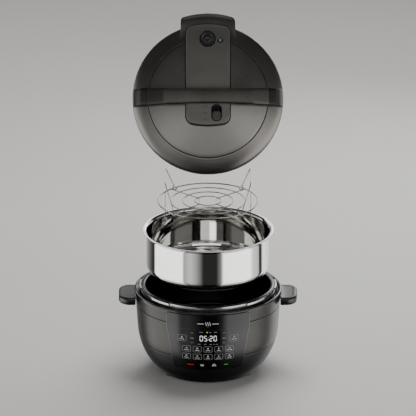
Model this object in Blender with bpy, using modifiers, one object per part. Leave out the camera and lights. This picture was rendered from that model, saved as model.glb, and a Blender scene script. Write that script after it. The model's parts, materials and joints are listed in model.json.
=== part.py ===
# Electric pressure cooker, opened out: base, pot, rack and lid one above the other on a common axis.
# Lengths are in millimetres here and turned to metres where a mesh is made.
import math

import bmesh
import bpy
from mathutils import Matrix, Vector

MM = 0.001
STEPS = 32                      # facets round every large turned piece
GAP = 0.3                       # clearance between neighbouring pieces
AXIS_Y = 28.0                   # the cooker's axis, behind the middle of the whole box

# Base
RIM_R = 167.0
COLLAR_TOP, COLLAR_FOOT, WRAP_FOOT = 189.0, 160.0, 79.0
WALL, SKIN = 3.0, 1.8
LIP_TOP, LIP_R, CHAMBER_R = 203.0, 151.0, 142.3
LUG_COUNT, LUG_ANGLE = 8, 20.0
FOOT_X, FOOT_Y, FOOT_R = 86.6, 50.0, 9.0
BODY = [(166.0, 193.0), (162.5, 150.0), (160.0, 110.0), (157.0, 85.0), (149.5, 60.0),
        (140.0, 40.0), (130.0, 25.0), (118.0, 12.0), (111.0, 5.0)]

# Control panel: keys are centre x, centre z, width, height
PANEL_TOP, PANEL_FOOT, PANEL_HALF_TOP, PANEL_HALF_FOOT = 188.7, 50.0, 94.0, 76.0
WINDOW = (0.0, 132.5, 54.0, 37.0)
KEY_W, KEY_H, KEY_ROWS, KEY_PITCH = 20.3, 15.5, (105.3, 85.8), 24.3
ROCKERS = {"rocker_left": (-36.5, 133.0, 11.0, 34.0), "rocker_right": (36.5, 133.0, 11.0, 34.0)}
KEYS = {"key_pressure": (-59.2, 130.5, 21.0, 17.0), "key_delay": (59.2, 130.5, 21.0, 17.0),
        "key_cancel": (-39.8, 64.0, 20.0, 11.0), "key_keep_warm": (-13.3, 64.0, 20.0, 11.0),
        "key_vent": (13.9, 64.0, 20.0, 11.0), "key_start": (40.8, 64.0, 20.0, 11.0)}
for row, key_z in enumerate(KEY_ROWS):
    for column in range(5):
        KEYS[f"key_program_{row * 5 + column + 1:02d}"] = ((column - 2) * KEY_PITCH, key_z, KEY_W, KEY_H)

# Pot, as it stands in the base, and how far it is lifted out
POT_LIFT = 130.0
POT_R, POT_FLOOR, POT_RIM_R, POT_RIM_TOP = 139.5, 98.7, 148.6, 205.2

# Rack
RACK_Z = 403.0                  # the rings' plane as lifted
RING_RADII = (113.0, 84.5, 57.0, 29.5)
WIRE_R, THIN_WIRE_R = 1.5, 1.25
EYE_X, EYE_Y, EYE_R = 75.0, 84.5, 5.0
BAIL_X, BAIL_Y, BAIL_H = 96.5, 55.0, 60.0
LEG_X, LEG_Y, LEG_DEPTH = 97.0, 50.0, 34.0

# Lid, in its own frame: height 0 is the skirt's edge
TILT = math.radians(64.0)
LID_Z, TILT_ARM = 461.6, 269.0  # height of the level lid, and the tilt axis in front of its centre
LID_R, SEAM_R, SEAM_H, DOME_H = 169.5, 134.8, 34.0, 48.0
DOME_RADII = (0, 35, 70, 100, 120, SEAM_R - 0.3)
SPINE_HALF, SPINE_FRONT, SPINE_BACK, SPINE_SKIN = 50.3, -64.0, 171.5, 2.4
TAB_HALF, TAB_R = 62.0, 194.0
VALVE = (-1.0, 132.0)
FLOAT = (27.5, 129.0)
SLIDER = (19.2, -35.0)
STRAP_HALF_END, STRAP_HALF_MIDDLE = 20.0, 16.6

LOOKS = {                       # colour, roughness, metallic
    "black": ((0.012, 0.012, 0.013), 0.35, 0.0),
    "gloss_black": ((0.008, 0.008, 0.009), 0.08, 0.0),
    "dark_metal": ((0.085, 0.085, 0.088), 0.32, 0.8),
    "steel": ((0.62, 0.62, 0.60), 0.12, 1.0),
    "wire": ((0.70, 0.70, 0.70), 0.18, 1.0),
    "grey": ((0.10, 0.10, 0.105), 0.45, 0.0),
    "silicone": ((0.55, 0.56, 0.56), 0.55, 0.0),
    "rubber": ((0.02, 0.02, 0.02), 0.8, 0.0),
    "board": ((0.02, 0.12, 0.05), 0.5, 0.0),
    "aluminium": ((0.55, 0.56, 0.57), 0.35, 1.0),
}

for stale in list(bpy.data.objects):
    bpy.data.objects.remove(stale)
parts = bpy.data.collections.new("electric_pressure_cooker")
cutters = bpy.data.collections.new("cutters")
for collection in (parts, cutters):
    bpy.context.scene.collection.children.link(collection)


# ---- small helpers ----

def body_radius(z):
    for (r_top, z_top), (r_foot, z_foot) in zip(BODY, BODY[1:]):
        if z >= z_foot:
            break
    return r_foot + (r_top - r_foot) * (z - z_foot) / (z_top - z_foot)


def body_outline(top, foot, offset=0.0):
    heights = [top] + [z for _, z in BODY if foot < z < top] + [foot]
    return [(body_radius(z) + offset, z) for z in heights]


def dome_height(r):
    sphere = (SEAM_R ** 2 + (DOME_H - SEAM_H) ** 2) / (2 * (DOME_H - SEAM_H))
    return DOME_H - sphere + math.sqrt(sphere ** 2 - r ** 2)


def empty(name, at, tilt=0.0, parent=None):
    frame = bpy.data.objects.new(name, None)
    parts.objects.link(frame)
    frame.location = Vector(at) * MM
    frame.rotation_euler.x = tilt
    frame.parent = parent
    return frame


def material(name, look):
    colour, roughness, metallic = LOOKS[look]
    finish = bpy.data.materials.new(name)
    finish.use_nodes = True
    shader = finish.node_tree.nodes["Principled BSDF"]
    shader.inputs["Base Color"].default_value = (*colour, 1.0)
    shader.inputs["Roughness"].default_value = roughness
    shader.inputs["Metallic"].default_value = metallic
    return finish


def piece(name, mesh, look=None, parent=None, at=(0, 0, 0)):
    """A part when it has a look, and otherwise a cutter."""
    made = bpy.data.objects.new(name, mesh)
    made.location = Vector(at) * MM
    made.parent = parent
    mesh.name = name
    if look:
        parts.objects.link(made)
        mesh.materials.append(material(name, look))
    else:
        cutters.objects.link(made)
        made.hide_render = True
        made.display_type = "WIRE"
    return made


def turned(name, profile, look=None, parent=None, at=(0, 0, 0), steps=STEPS):
    """Turns (radius, height) points; the profile is a loop unless it starts on the axis."""
    count = len(profile)
    edges = [(i, i + 1) for i in range(count - 1)]
    if profile[0][0] > 0:
        edges.append((count - 1, 0))
    mesh = bpy.data.meshes.new(name)
    mesh.from_pydata([(r * MM, 0, z * MM) for r, z in profile], edges, [])
    made = piece(name, mesh, look, parent, at)
    screw = made.modifiers.new("turn", "SCREW")
    screw.steps = screw.render_steps = steps
    screw.use_merge_vertices = True
    screw.merge_threshold = 0.00001
    screw.use_smooth_shade = True
    return made


def mesh_of_curve(curve):
    holder = bpy.data.objects.new("holder", curve)
    cutters.objects.link(holder)
    bpy.context.view_layer.update()
    mesh = bpy.data.meshes.new_from_object(holder.evaluated_get(bpy.context.evaluated_depsgraph_get()))
    bpy.data.objects.remove(holder)
    work = bmesh.new()
    work.from_mesh(mesh)
    bmesh.ops.remove_doubles(work, verts=work.verts, dist=0.00001)
    bmesh.ops.recalc_face_normals(work, faces=work.faces)
    work.to_mesh(mesh)
    work.free()
    return mesh


def spline_curve(points, cyclic, dimensions):
    curve = bpy.data.curves.new("outline", "CURVE")
    curve.dimensions = dimensions
    spline = curve.splines.new("POLY")
    spline.points.add(len(points) - 1)
    for knot, point in zip(spline.points, points):
        knot.co = (*(Vector(point).to_3d() * MM), 1.0)
    spline.use_cyclic_u = cyclic
    return curve


def plate_mesh(outline, low, high, along="z"):
    """A flat outline extruded from low to high along z, or along y, where the outline is (x, z)."""
    curve = spline_curve(outline, True, "2D")
    curve.fill_mode = "BOTH"
    curve.extrude = abs(high - low) / 2 * MM
    mesh = mesh_of_curve(curve)
    mesh.transform(Matrix.Translation((0, 0, (low + high) / 2 * MM)))
    if along == "y":
        mesh.transform(Matrix.Rotation(math.pi / 2, 4, "X") @ Matrix.Scale(-1, 4, (0, 0, 1)))
        mesh.flip_normals()
    return mesh


def wire_mesh(points, radius, cyclic=False):
    curve = spline_curve(points, cyclic, "3D")
    curve.bevel_depth = radius * MM
    curve.bevel_resolution = 2
    curve.use_fill_caps = not cyclic
    return mesh_of_curve(curve)


def arc(cx, cy, r, start, end, count):
    angles = [math.radians(start + (end - start) * i / count) for i in range(count + 1)]
    return [(cx + r * math.cos(a), cy + r * math.sin(a)) for a in angles]


def rounded(cx, cy, width, height, r, count=3):
    """Outline of a rectangle with round corners, centred on (cx, cy)."""
    w, h = width / 2 - r, height / 2 - r
    corners = ((w, h, 0), (-w, h, 90), (-w, -h, 180), (w, -h, 270))
    return [p for x, y, turn in corners for p in arc(cx + x, cy + y, r, turn, turn + 90, count)]


def sector(r_in, r_out, middle, spread):
    """Outline of part of a flat ring."""
    low, high = middle - spread / 2, middle + spread / 2
    return arc(0, 0, r_out, low, high, 3) + arc(0, 0, r_in, high, low, 3)


def filleted(points, r, count=3):
    """A 3-D path with each inner corner rounded."""
    path = [Vector(p) for p in points]
    made = [path[0]]
    for before, corner, after in zip(path, path[1:], path[2:]):
        start = corner + (before - corner).normalized() * r
        end = corner + (after - corner).normalized() * r
        for i in range(count + 1):
            t = i / count
            made.append(start * (1 - t) ** 2 + corner * 2 * t * (1 - t) + end * t ** 2)
    return made + [path[-1]]


def joined(meshes):
    """Several closed meshes as one, for one Boolean."""
    work = bmesh.new()
    for mesh in meshes:
        work.from_mesh(mesh)
    merged = bpy.data.meshes.new("joined")
    work.to_mesh(merged)
    work.free()
    return merged


def boolean(target, operation, other):
    change = target.modifiers.new(operation.lower(), "BOOLEAN")
    change.operation = operation
    change.object = other
    change.solver = "EXACT"
    return change


def cut(target, *others):
    for other in others:
        boolean(target, "DIFFERENCE", other)


def round_cutter(name, centre, r, low, high, parent):
    return piece(name, plate_mesh(arc(*centre, r, 0, 345, 23), low, high), parent=parent)


# ---- base ----

def make_housing(axis):
    outer = body_outline(WRAP_FOOT, BODY[-1][1])
    inner = [(r - WALL, z + (1.0 if z < 60 else 0.0)) for r, z in reversed(outer[:-1])]
    inner = [(109.5, 8.0)] + inner
    housing = turned("lower_housing", outer + [(90.0, 5.0), (90.0, 8.0)] + inner, "black", axis)
    wrap_top = COLLAR_FOOT - GAP
    outer = body_outline(wrap_top, WRAP_FOOT + GAP)
    wrap = turned("side_wrap", outer + [(r - SKIN, z) for r, z in reversed(outer)], "dark_metal", axis)
    outer = body_outline(COLLAR_TOP, COLLAR_FOOT + GAP)
    turned("upper_collar", outer + [(r - SKIN, z) for r, z in reversed(outer)], "dark_metal", axis)
    opening = piece("panel_opening", plate_mesh(rounded(0, 102, 144, 96, 8), -200, -100, "y"), parent=axis)
    cut(wrap, opening)
    cut(housing, opening)
    socket = piece("socket_opening", plate_mesh(rounded(0, 66, 28.6, 20.6, 3), 100, 180, "y"), parent=axis)
    cut(housing, socket)


def make_rim(axis):
    inner = 152.9
    turned("rim_ring", [(166.0, 193.5), (RIM_R, 192.5), (RIM_R, 189.3), (163.2, 189.3), (163.2, 184.5),
                        (inner, 184.5), (inner, 187.5), (161.0, 187.5), (161.0, 193.5)], "gloss_black", axis)
    ring = turned("locking_ring", [(152.4, 202.0), (152.4, 190.0), (151.6, 190.0), (151.6, 202.0)],
                  "steel", axis)
    lugs = [plate_mesh(sector(151.9, 156.0, i * 360 / LUG_COUNT, LUG_ANGLE), 198, 202.3)
            for i in range(LUG_COUNT)]
    boolean(ring, "UNION", piece("lugs", joined(lugs), parent=axis))
    thick = 1.2
    r = CHAMBER_R
    turned("inner_liner", [(LIP_R, LIP_TOP), (LIP_R, 190.0), (LIP_R - thick, 190.0),
                           (LIP_R - thick, LIP_TOP - thick), (r + thick, LIP_TOP - thick), (r + thick, 100.0),
                           (126.0, 82.8), (103.0, 82.8), (103.0, 84.0), (125.5, 84.0), (r, 99.5),
                           (r, LIP_TOP)], "black", axis)


def make_handles(axis):
    body = turned("handle_clearance", [(0, 200), (166.9, 200), (166.9, 150), (0, 150)], parent=axis)
    for name, side in (("handle_left", -1), ("handle_right", 1)):
        outline = [(140, -48)] + arc(174.5, -20, 28, -90, 0, 6) + arc(174.5, 20, 28, 0, 90, 6) + [(140, 48)]
        outline = [(x * side, y) for x, y in outline][::side]
        handle = piece(name, plate_mesh(outline, 165.5, 184.0), "black", axis)
        edge = handle.modifiers.new("soft_edge", "BEVEL")
        edge.width = 0.003
        edge.segments = 2
        edge.limit_method = "ANGLE"
        edge.angle_limit = math.radians(60)
        cut(handle, body)


def make_inside(axis):
    turned("heat_shield", [(146.2, 183.0), (146.2, 88.0), (145.5, 88.0), (145.5, 183.0)], "aluminium", axis)
    turned("heating_plate", [(101.0, 94.2), (101.0, 86.5), (98.0, 84.5), (16.0, 84.5), (16.0, 94.2)],
           "aluminium", axis)
    turned("sensor_cap", [(0, 96.7), (13.5, 96.7), (14.5, 95.7), (14.5, 90.5), (5.0, 90.5), (5.0, 82.5),
                          (0, 82.5)], "aluminium", axis, steps=24)
    coil = [(4.0 * math.cos(a), 4.0 * math.sin(a), 60.8 + 18.0 * a / (8 * math.pi))
            for a in [i * math.pi / 4 for i in range(33)]]
    piece("sensor_spring", wire_mesh(coil, 0.6), "steel", axis)
    cover = turned("bottom_cover", [(0, 8.0), (89.7, 8.0), (89.7, 5.0), (0, 5.0)], "black", axis)
    slots = [plate_mesh(rounded(x, y, 5.0, 46.0, 2.4, 1), 0, 12)
             for x in (-45, -30, 30, 45) for y in (-28, 28)]
    cut(cover, piece("vent_slots", joined(slots), parent=axis))
    for depth, front in (("front", -1), ("back", 1)):
        for hand, side in (("left", -1), ("right", 1)):
            turned(f"foot_{depth}_{hand}", [(0, 4.7), (FOOT_R, 4.7), (FOOT_R - 1, 0), (0, 0)], "rubber", axis,
                   (side * FOOT_X, front * FOOT_Y, 0), 16)
    power = piece("power_board", plate_mesh(rounded(-10, 5, 120, 120, 4, 1), 30, 31.6), "board", axis)
    blocks = [plate_mesh(rounded(-35, 30, 34, 40, 2, 1), 31, 56),
              plate_mesh(rounded(-35, -30, 22, 28, 2, 1), 31, 48),
              plate_mesh(arc(20, -30, 9, 0, 330, 11), 31, 54)]
    boolean(power, "UNION", piece("board_blocks", joined(blocks), parent=axis))
    piece("control_board", plate_mesh(rounded(0, 120, 88, 56, 3, 1), -149.4, -147.8, "y"), "board", axis)
    piece("display_module", plate_mesh(rounded(0, 133, 52, 34, 2, 1), -157.0, -149.7, "y"), "black", axis)
    inlet = piece("power_inlet", plate_mesh(rounded(0, 66, 28, 20, 2.7), 132, 150, "y"), "black", axis)
    cut(inlet, piece("inlet_socket", plate_mesh(rounded(0, 66, 22.5, 14.5, 2), 137, 160, "y"), parent=axis))
    route = [(0, 131.5, 66), (0, 112, 66), (0, 96, 50), (10, 74, 40), (22, 50, 36), (22, 40, 35.5)]
    piece("wire_harness", wire_mesh(filleted(route, 6, 3), 2.5), "black", axis)


def make_panel(axis):
    face = body_outline(PANEL_TOP, PANEL_FOOT - 6)

    def shell(name, inner, outer):
        return turned(name, [(r + outer, z) for r, z in face] + [(r + inner, z) for r, z in reversed(face)],
                      "gloss_black", axis)

    def block(box, grow=0.0):
        x, z, width, height = box
        outline = rounded(x, z, width + 2 * grow, height + 2 * grow, 2.5 + grow, 1)
        return plate_mesh(outline, -200, -100, "y")

    top, foot = PANEL_TOP - 0.5, PANEL_FOOT
    outline = [(-PANEL_HALF_FOOT + 6, foot), (PANEL_HALF_FOOT - 6, foot), (PANEL_HALF_FOOT, foot + 6),
               (PANEL_HALF_TOP, 158), (PANEL_HALF_TOP, top), (-PANEL_HALF_TOP, top), (-PANEL_HALF_TOP, 158),
               (-PANEL_HALF_FOOT, foot + 6)]
    fascia = shell("fascia", 0.4, 3.0)
    boolean(fascia, "INTERSECT", piece("fascia_outline", plate_mesh(outline, -200, -80, "y"), parent=axis))
    openings = {"display_lens": WINDOW, **KEYS, **ROCKERS}
    cut(fascia, piece("panel_holes", joined([block(box, GAP) for box in openings.values()]), parent=axis))
    for name, box in openings.items():
        made = shell(name, *((1.2, 2.8) if name == "display_lens" else (1.5, 3.2)))
        boolean(made, "INTERSECT", piece(f"{name}_outline", block(box), parent=axis))
        if name in ROCKERS:
            pivot = empty(f"{name}_pivot", (box[0], -body_radius(box[1]) - 1.0, box[1]), parent=axis)
            bpy.context.view_layer.update()
            made.parent = pivot
            made.matrix_parent_inverse = pivot.matrix_world.inverted() @ axis.matrix_world


def make_cup(axis):
    outline = [(-32, 150)] + [(32, 150)] + arc(24, 180, 8, 0, 90, 4) + arc(-24, 180, 8, 90, 180, 4)
    cup = piece("condensation_cup", plate_mesh(outline, 120, 178), "black", axis)
    hollow = arc(-24.0, 180, 6.2, 90, 180, 4) + [(-30.2, 169.5), (30.2, 169.5)] + arc(24.0, 180, 6.2, 0, 90, 4)
    cut(cup, piece("cup_hollow", plate_mesh(hollow, 122, 190), parent=axis),
        turned("cup_clearance", [(0, 190), (166.8, 190), (166.8, 100), (0, 100)], parent=axis))


# ---- pot ----

def make_pot(axis):
    lifted = empty("pot_lift_axis", (0, 0, POT_LIFT), parent=axis)
    wall, floor = 1.5, POT_FLOOR
    r = POT_R
    profile = [(0, floor + 1.4), (111, floor + 1.4), (120.4, 101.5), (130, 106.8), (136.1, 115.8),
               (r - wall, 126), (r - wall, 197.3), (139.4, 202.0), (142.6, POT_RIM_TOP),
               (147.9, POT_RIM_TOP), (POT_RIM_R, 204.3), (147.9, 203.4), (141.9, 203.4), (140.5, 201.2), (r, 197),
               (r, 125.5), (137.5, 115), (131, 105.3), (121, 100), (112, floor), (0, floor)]
    turned("inner_pot", profile, "steel", lifted)
    turned("pot_base", [(0, floor - GAP), (102.5, floor - GAP), (104, floor - 1.5), (104, 95.6), (103, 94.6),
                        (0, 94.6)], "aluminium", lifted)


# ---- rack ----

def ring_points(r, count, z=0.0):
    return [(r * math.cos(a), r * math.sin(a), z) for a in [2 * math.pi * i / count for i in range(count)]]


def make_rack(axis):
    plane = empty("rack_plane", (0, 0, RACK_Z), parent=axis)
    rings = [wire_mesh(ring_points(r, n), WIRE_R if r > 100 else THIN_WIRE_R, True)
             for r, n in zip(RING_RADII, (28, 22, 16, 12))]
    grid = piece("rack_grid", rings[0], "wire", plane)
    below = -(WIRE_R + THIN_WIRE_R - 0.9)
    out_x, out_y = 82.0, 77.7
    others = []
    for side in (-1, 1):
        path = [(side * out_x, out_y, below), (side * 19, 19, below), (side * 19, -18, below),
                (side * out_x, -out_y, below)]
        others.append(wire_mesh(filleted(path, 6), THIN_WIRE_R))
        foot_y = math.sqrt(RING_RADII[0] ** 2 - LEG_X ** 2)
        bar_z = -LEG_DEPTH + THIN_WIRE_R
        half = [(side * LEG_X, foot_y, 0.6), (side * LEG_X, LEG_Y, bar_z + 5), (side * LEG_X, LEG_Y - 4, bar_z)]
        path = [(x, -y, z) for x, y, z in half] + half[::-1]
        others.append(wire_mesh(filleted(path, 3, 2), THIN_WIRE_R))
    for index, mesh in enumerate(others + rings[1:]):
        boolean(grid, "UNION", piece(f"grid_wire_{index}", mesh, parent=plane))
    for name, side in (("rack_handle_left", -1), ("rack_handle_right", 1)):
        pivot = empty(f"{name}_pivot", (side * EYE_X, 0, 0), parent=plane)
        lean = side * (BAIL_X - EYE_X)
        rise = EYE_R * 0.92
        path = [(lean * rise / BAIL_H, -EYE_Y, rise), (lean, -BAIL_Y, BAIL_H), (lean, BAIL_Y, BAIL_H),
                (lean * rise / BAIL_H, EYE_Y, rise)]
        bail = piece(name, wire_mesh(filleted(path, 9), THIN_WIRE_R), "wire", pivot)
        for end in (-1, 1):
            eye = [(EYE_R * math.sin(a), end * EYE_Y, EYE_R * math.cos(a))
                   for a in [2 * math.pi * i / 14 for i in range(14)]]
            boolean(bail, "UNION", piece(f"{name}_eye_{end}", wire_mesh(eye, THIN_WIRE_R, True), parent=pivot))


# ---- lid ----

def make_lid_shells(lid):
    rim = turned("lid_rim", [(SEAM_R + 0.3, SEAM_H), (158, 26), (167, 21), (LID_R, 16), (LID_R, 0),
                             (167.1, 0), (167.1, 15.2), (165.3, 19.0), (157, 23.4), (SEAM_R + 0.3, 31.5)],
                 "dark_metal", lid)
    dome = [(r, dome_height(r)) for r in DOME_RADII]
    top = turned("lid_top", dome + [(r, h - SKIN) for r, h in reversed(dome)], "dark_metal", lid)
    well = piece("valve_well", plate_mesh(rounded(13, VALVE[1], 46, 22, 4), 20, 60), parent=lid)
    cut(rim, well)
    cut(top, well)


def make_spine(lid):
    crown = [(0, 58), (60, 57), (100, 54.5), (VALVE[1], 51), (150, 47), (165, 41), (SPINE_BACK, 35)]
    seat = [(SPINE_BACK, 2), (LID_R + 0.5, 2), (LID_R + 0.5, 16.3), (167.3, 21.6), (158.2, 26.6)]
    seat += [(r, dome_height(r) + 0.4) for r in reversed(DOME_RADII)]
    spine = turned("lid_spine", crown + seat, "dark_metal", lid)
    middle = (SPINE_FRONT + 180) / 2
    length = 180 - SPINE_FRONT
    boolean(spine, "INTERSECT", piece("spine_outline", plate_mesh(
        rounded(0, middle, 2 * SPINE_HALF, length, 14, 4), -5, 80), parent=lid))
    inside = turned("spine_inside", [(r - (SPINE_SKIN if r > 170 else 0), h - SPINE_SKIN) for r, h in crown]
                    + [(SPINE_BACK - SPINE_SKIN, -4), (0, -4)], parent=lid)
    drawn_in = rounded(0, middle, 2 * (SPINE_HALF - SPINE_SKIN), length - 2 * SPINE_SKIN, 11.6, 4)
    boolean(inside, "INTERSECT", piece("spine_inside_outline", plate_mesh(drawn_in, -5, 80), parent=lid))
    cut(spine, inside)
    tab = turned("tab", [(170.3, 31), (187, 26), (193, 20), (TAB_R, 14), (TAB_R, 1), (191.8, 1), (191.8, 13.5),
                         (190.8, 18.6), (186, 23.7), (170.3, 28.6)], parent=lid)
    boolean(tab, "INTERSECT", piece("tab_outline", plate_mesh(
        rounded(0, 150, 2 * TAB_HALF, 120, 6, 1), -5, 60), parent=lid))
    boolean(spine, "UNION", tab)
    cut(spine, round_cutter("valve_recess", VALVE, 18.3, 36, 70, lid),
        round_cutter("float_hole", FLOAT, 6.9, 42, 70, lid),
        piece("slider_recess", plate_mesh(rounded(*SLIDER, 24, 39.5, 11.9, 5), 52, 70), parent=lid))


def make_strap(lid):
    half = [(0, 90), (50, 88), (100, 81), (137, 70), (155, 60), (165, 45), (168.5, 30), (168.5, 21.9),
            (167.3, 21.9), (158.2, 26.7), (SEAM_R, 34.6), (106, 41), (102, 52), (95, 66), (80, 74), (50, 78.5), (0, 80)]
    outline = half + [(-x, h) for x, h in reversed(half[1:-1])]
    strap = piece("lid_handle", plate_mesh(outline, -STRAP_HALF_END, STRAP_HALF_END, "y"), "grey", lid)
    flare = STRAP_HALF_END - STRAP_HALF_MIDDLE
    waist = [(-175, 25), (-175, STRAP_HALF_END)]
    waist += [(x, STRAP_HALF_MIDDLE + flare * (x / 137) ** 2) for x in range(-137, 138, 34)]
    waist += [(137, STRAP_HALF_END), (175, STRAP_HALF_END), (175, 25)]
    back = plate_mesh(waist, 0, 100)
    front = plate_mesh([(x, -y) for x, y in reversed(waist)], 0, 100)
    cut(strap, piece("strap_waist", joined([back, front]), parent=lid))
    round_end = turned("strap_reach", [(0, 100), (169, 100), (169, 0), (0, 0)], parent=lid)
    boolean(strap, "INTERSECT", round_end)


def make_inner_lid(lid):
    inner = turned("inner_lid", [(0, 9.8), (136.7, 9.8), (139.0, 12.3), (139.0, 22.3), (157.0, 22.3),
                                 (159.2, 19.8), (159.2, -2), (157.9, -2), (157.9, 19.2), (156.5, 21), (140.3, 21),
                                 (140.3, 11.7), (137.3, 8.5), (0, 8.5)], "steel", lid)
    hooks = [plate_mesh(sector(153.5, 158.6, i * 360 / LUG_COUNT, 18), -1, 2)
             for i in range(LUG_COUNT)]
    boolean(inner, "UNION", piece("hooks", joined(hooks), parent=lid))
    cut(inner, round_cutter("release_hole", VALVE, 4.2, 0, 20, lid),
        round_cutter("pin_hole", FLOAT, 3.0, 0, 20, lid))
    turned("seal_frame", [(155.0 + 1.1 * math.cos(a), 15.0 + 1.1 * math.sin(a))
                          for a in [-2 * math.pi * i / 6 for i in range(6)]], "wire", lid)
    turned("sealing_ring", [(152.5, 19.5), (152.5, 13.0), (150.5, 11.6), (143.5, 11.6), (141.8, 13.0),
                            (141.8, 19.5)], "silicone", lid)
    turned("vent_shield", [(0, -1.8), (13.6, -1.8), (13.6, 8.1), (15.0, 8.1), (15.0, -2.0), (14.0, -3.0),
                           (0, -3.0)], "steel", lid, (VALVE[0], 122, 0), 16)


def make_valves(lid):
    turned("release_button", [(0, 53), (14.3, 53), (15.5, 51.8), (15.5, 46.5), (4, 46.5), (4, 30), (2.4, 28),
                              (2.4, 2), (0, 2)], "black", lid, (*VALVE, 0), 24)
    turned("float_valve", [(0, 45.5), (3.3, 45.5), (3.8, 45), (3.8, 40), (2.2, 40), (2.2, 4), (0, 4)],
           "aluminium", lid, (*FLOAT, 0), 16)
    x, y = SLIDER
    knob = piece("vent_slider", plate_mesh(rounded(x, y - 7.3, 19.5, 21, 6, 3), 50.5, 57.2), "black", lid)
    ridges = [plate_mesh(rounded(x, y - 7.3 + 3.6 * i, 15, 1.6, 0.7, 1), 56, 60) for i in range(-2, 3)]
    ridges.append(plate_mesh(rounded(x, 20, 8, 116, 1, 1), 49.6, 51.2))
    boolean(knob, "UNION", piece("knob_ridges", joined(ridges), parent=lid))


# ---- assembly ----

axis_frame = empty("cooker_axis", (0, AXIS_Y, 0))
make_housing(axis_frame)
make_rim(axis_frame)
make_handles(axis_frame)
make_inside(axis_frame)
make_panel(axis_frame)
make_cup(axis_frame)
make_pot(axis_frame)
make_rack(axis_frame)
lid_centre = (0, TILT_ARM * (math.cos(TILT) - 1), LID_Z + TILT_ARM * math.sin(TILT))
lid_frame = empty("lid_frame", lid_centre, TILT, axis_frame)
make_lid_shells(lid_frame)
make_spine(lid_frame)
make_strap(lid_frame)
make_inner_lid(lid_frame)
make_valves(lid_frame)
for made in parts.objects:
    if made.type == "MESH" and not made.modifiers:
        made.data.shade_smooth()
        made.data.set_sharp_from_angle(angle=math.radians(35))
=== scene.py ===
import json
import math

import bmesh
import bpy
from mathutils import Matrix, Vector


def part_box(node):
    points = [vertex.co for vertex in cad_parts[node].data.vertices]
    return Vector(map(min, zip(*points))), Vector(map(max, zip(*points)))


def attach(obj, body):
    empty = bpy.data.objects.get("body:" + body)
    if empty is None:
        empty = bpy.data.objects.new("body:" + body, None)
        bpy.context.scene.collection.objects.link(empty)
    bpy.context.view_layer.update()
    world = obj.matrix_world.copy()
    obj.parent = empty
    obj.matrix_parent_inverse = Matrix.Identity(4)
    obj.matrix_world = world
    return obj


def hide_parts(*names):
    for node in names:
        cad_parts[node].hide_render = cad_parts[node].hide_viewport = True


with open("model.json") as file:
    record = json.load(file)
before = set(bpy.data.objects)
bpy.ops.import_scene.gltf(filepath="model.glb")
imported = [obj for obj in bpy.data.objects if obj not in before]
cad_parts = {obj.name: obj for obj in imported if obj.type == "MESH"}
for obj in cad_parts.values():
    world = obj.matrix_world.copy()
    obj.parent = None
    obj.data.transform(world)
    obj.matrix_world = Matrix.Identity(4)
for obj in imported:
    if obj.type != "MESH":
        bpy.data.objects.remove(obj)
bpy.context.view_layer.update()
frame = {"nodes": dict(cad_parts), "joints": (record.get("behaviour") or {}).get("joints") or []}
mm = 0.001

# Where the CAD puts the cooker's axis, the lid and the lifted pieces
rimLow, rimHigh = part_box("rim_ring")
axisY = (rimLow.y + rimHigh.y) / 2
jointOf = {joint["name"]: joint for joint in frame["joints"]}
lidNormal = Vector(jointOf["lid_turn"]["axis"]).normalized()
lidCentre = Vector(jointOf["lid_turn"]["pos_m"])
across = Vector((1, 0, 0))
axisPlace = Matrix.Translation((0, axisY, 0))
lidTilt = math.atan2(-lidNormal.y, lidNormal.z)
lidFrame = Matrix((across, lidNormal.cross(across), lidNormal)).transposed().to_4x4()
lidPlace = Matrix.Translation(lidCentre) @ lidFrame
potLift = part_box("pot_base")[0].z / mm - 94.6                 # how far the pot stands above its seat, mm
potPlace = axisPlace @ Matrix.Translation((0, 0, potLift * mm))
rackHeight = (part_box("rack_grid")[1].z / mm) - 1.5            # plane of the rings, mm
rackPlace = axisPlace @ Matrix.Translation((0, 0, rackHeight * mm))


def between(knots, x):
    # straight lines through (x, height) knots, flat past the last
    for (x0, h0), (x1, h1) in zip(knots, knots[1:]):
        if x <= x1:
            return h0 + (h1 - h0) * (x - x0) / (x1 - x0)
    return knots[-1][1]


def hexColour(code):
    channels = [int(code[i:i + 2], 16) / 255 for i in (1, 3, 5)]
    return [c / 12.92 if c <= 0.04045 else ((c + 0.055) / 1.055) ** 2.4 for c in channels] + [1.0]


def addNode(tree, kind, settings=None, inputs=None):
    node = tree.nodes.new(kind)
    for name, value in (settings or {}).items():
        setattr(node, name, value)
    for name, value in (inputs or {}).items():
        if isinstance(value, bpy.types.NodeSocket):
            tree.links.new(value, node.inputs[name])
        else:
            node.inputs[name].default_value = value
    return node


def bezierCorner(before, corner, after, radius, count):
    start = corner + (before - corner).normalized() * min(radius, (before - corner).length * 0.48)
    end = corner + (after - corner).normalized() * min(radius, (after - corner).length * 0.48)
    steps = [i / count for i in range(count + 1)]
    return [start * (1 - t) ** 2 + corner * 2 * t * (1 - t) + end * t ** 2 for t in steps]


def softened(points, radius, count=4, closed=True):
    # rounds each corner of an outline or profile
    path = [Vector(p).to_3d() for p in points]
    made = []
    for i, corner in enumerate(path):
        if not closed and i in (0, len(path) - 1):
            made.append(corner)
            continue
        made += bezierCorner(path[i - 1], corner, path[(i + 1) % len(path)], radius, count)
    return made


def finishMesh(name, work, place, material, angle=40):
    bmesh.ops.remove_doubles(work, verts=work.verts, dist=0.000001)
    bmesh.ops.recalc_face_normals(work, faces=work.faces)
    mesh = bpy.data.meshes.new(name)
    work.to_mesh(mesh)
    work.free()
    mesh.shade_smooth()
    mesh.set_sharp_from_angle(angle=math.radians(angle))
    mesh.transform(place)                                      # every piece keeps its origin at zero
    made = bpy.data.objects.new(name, mesh)
    bpy.context.scene.collection.objects.link(made)
    if material:
        mesh.materials.append(finishes[material])
    return made


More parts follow.
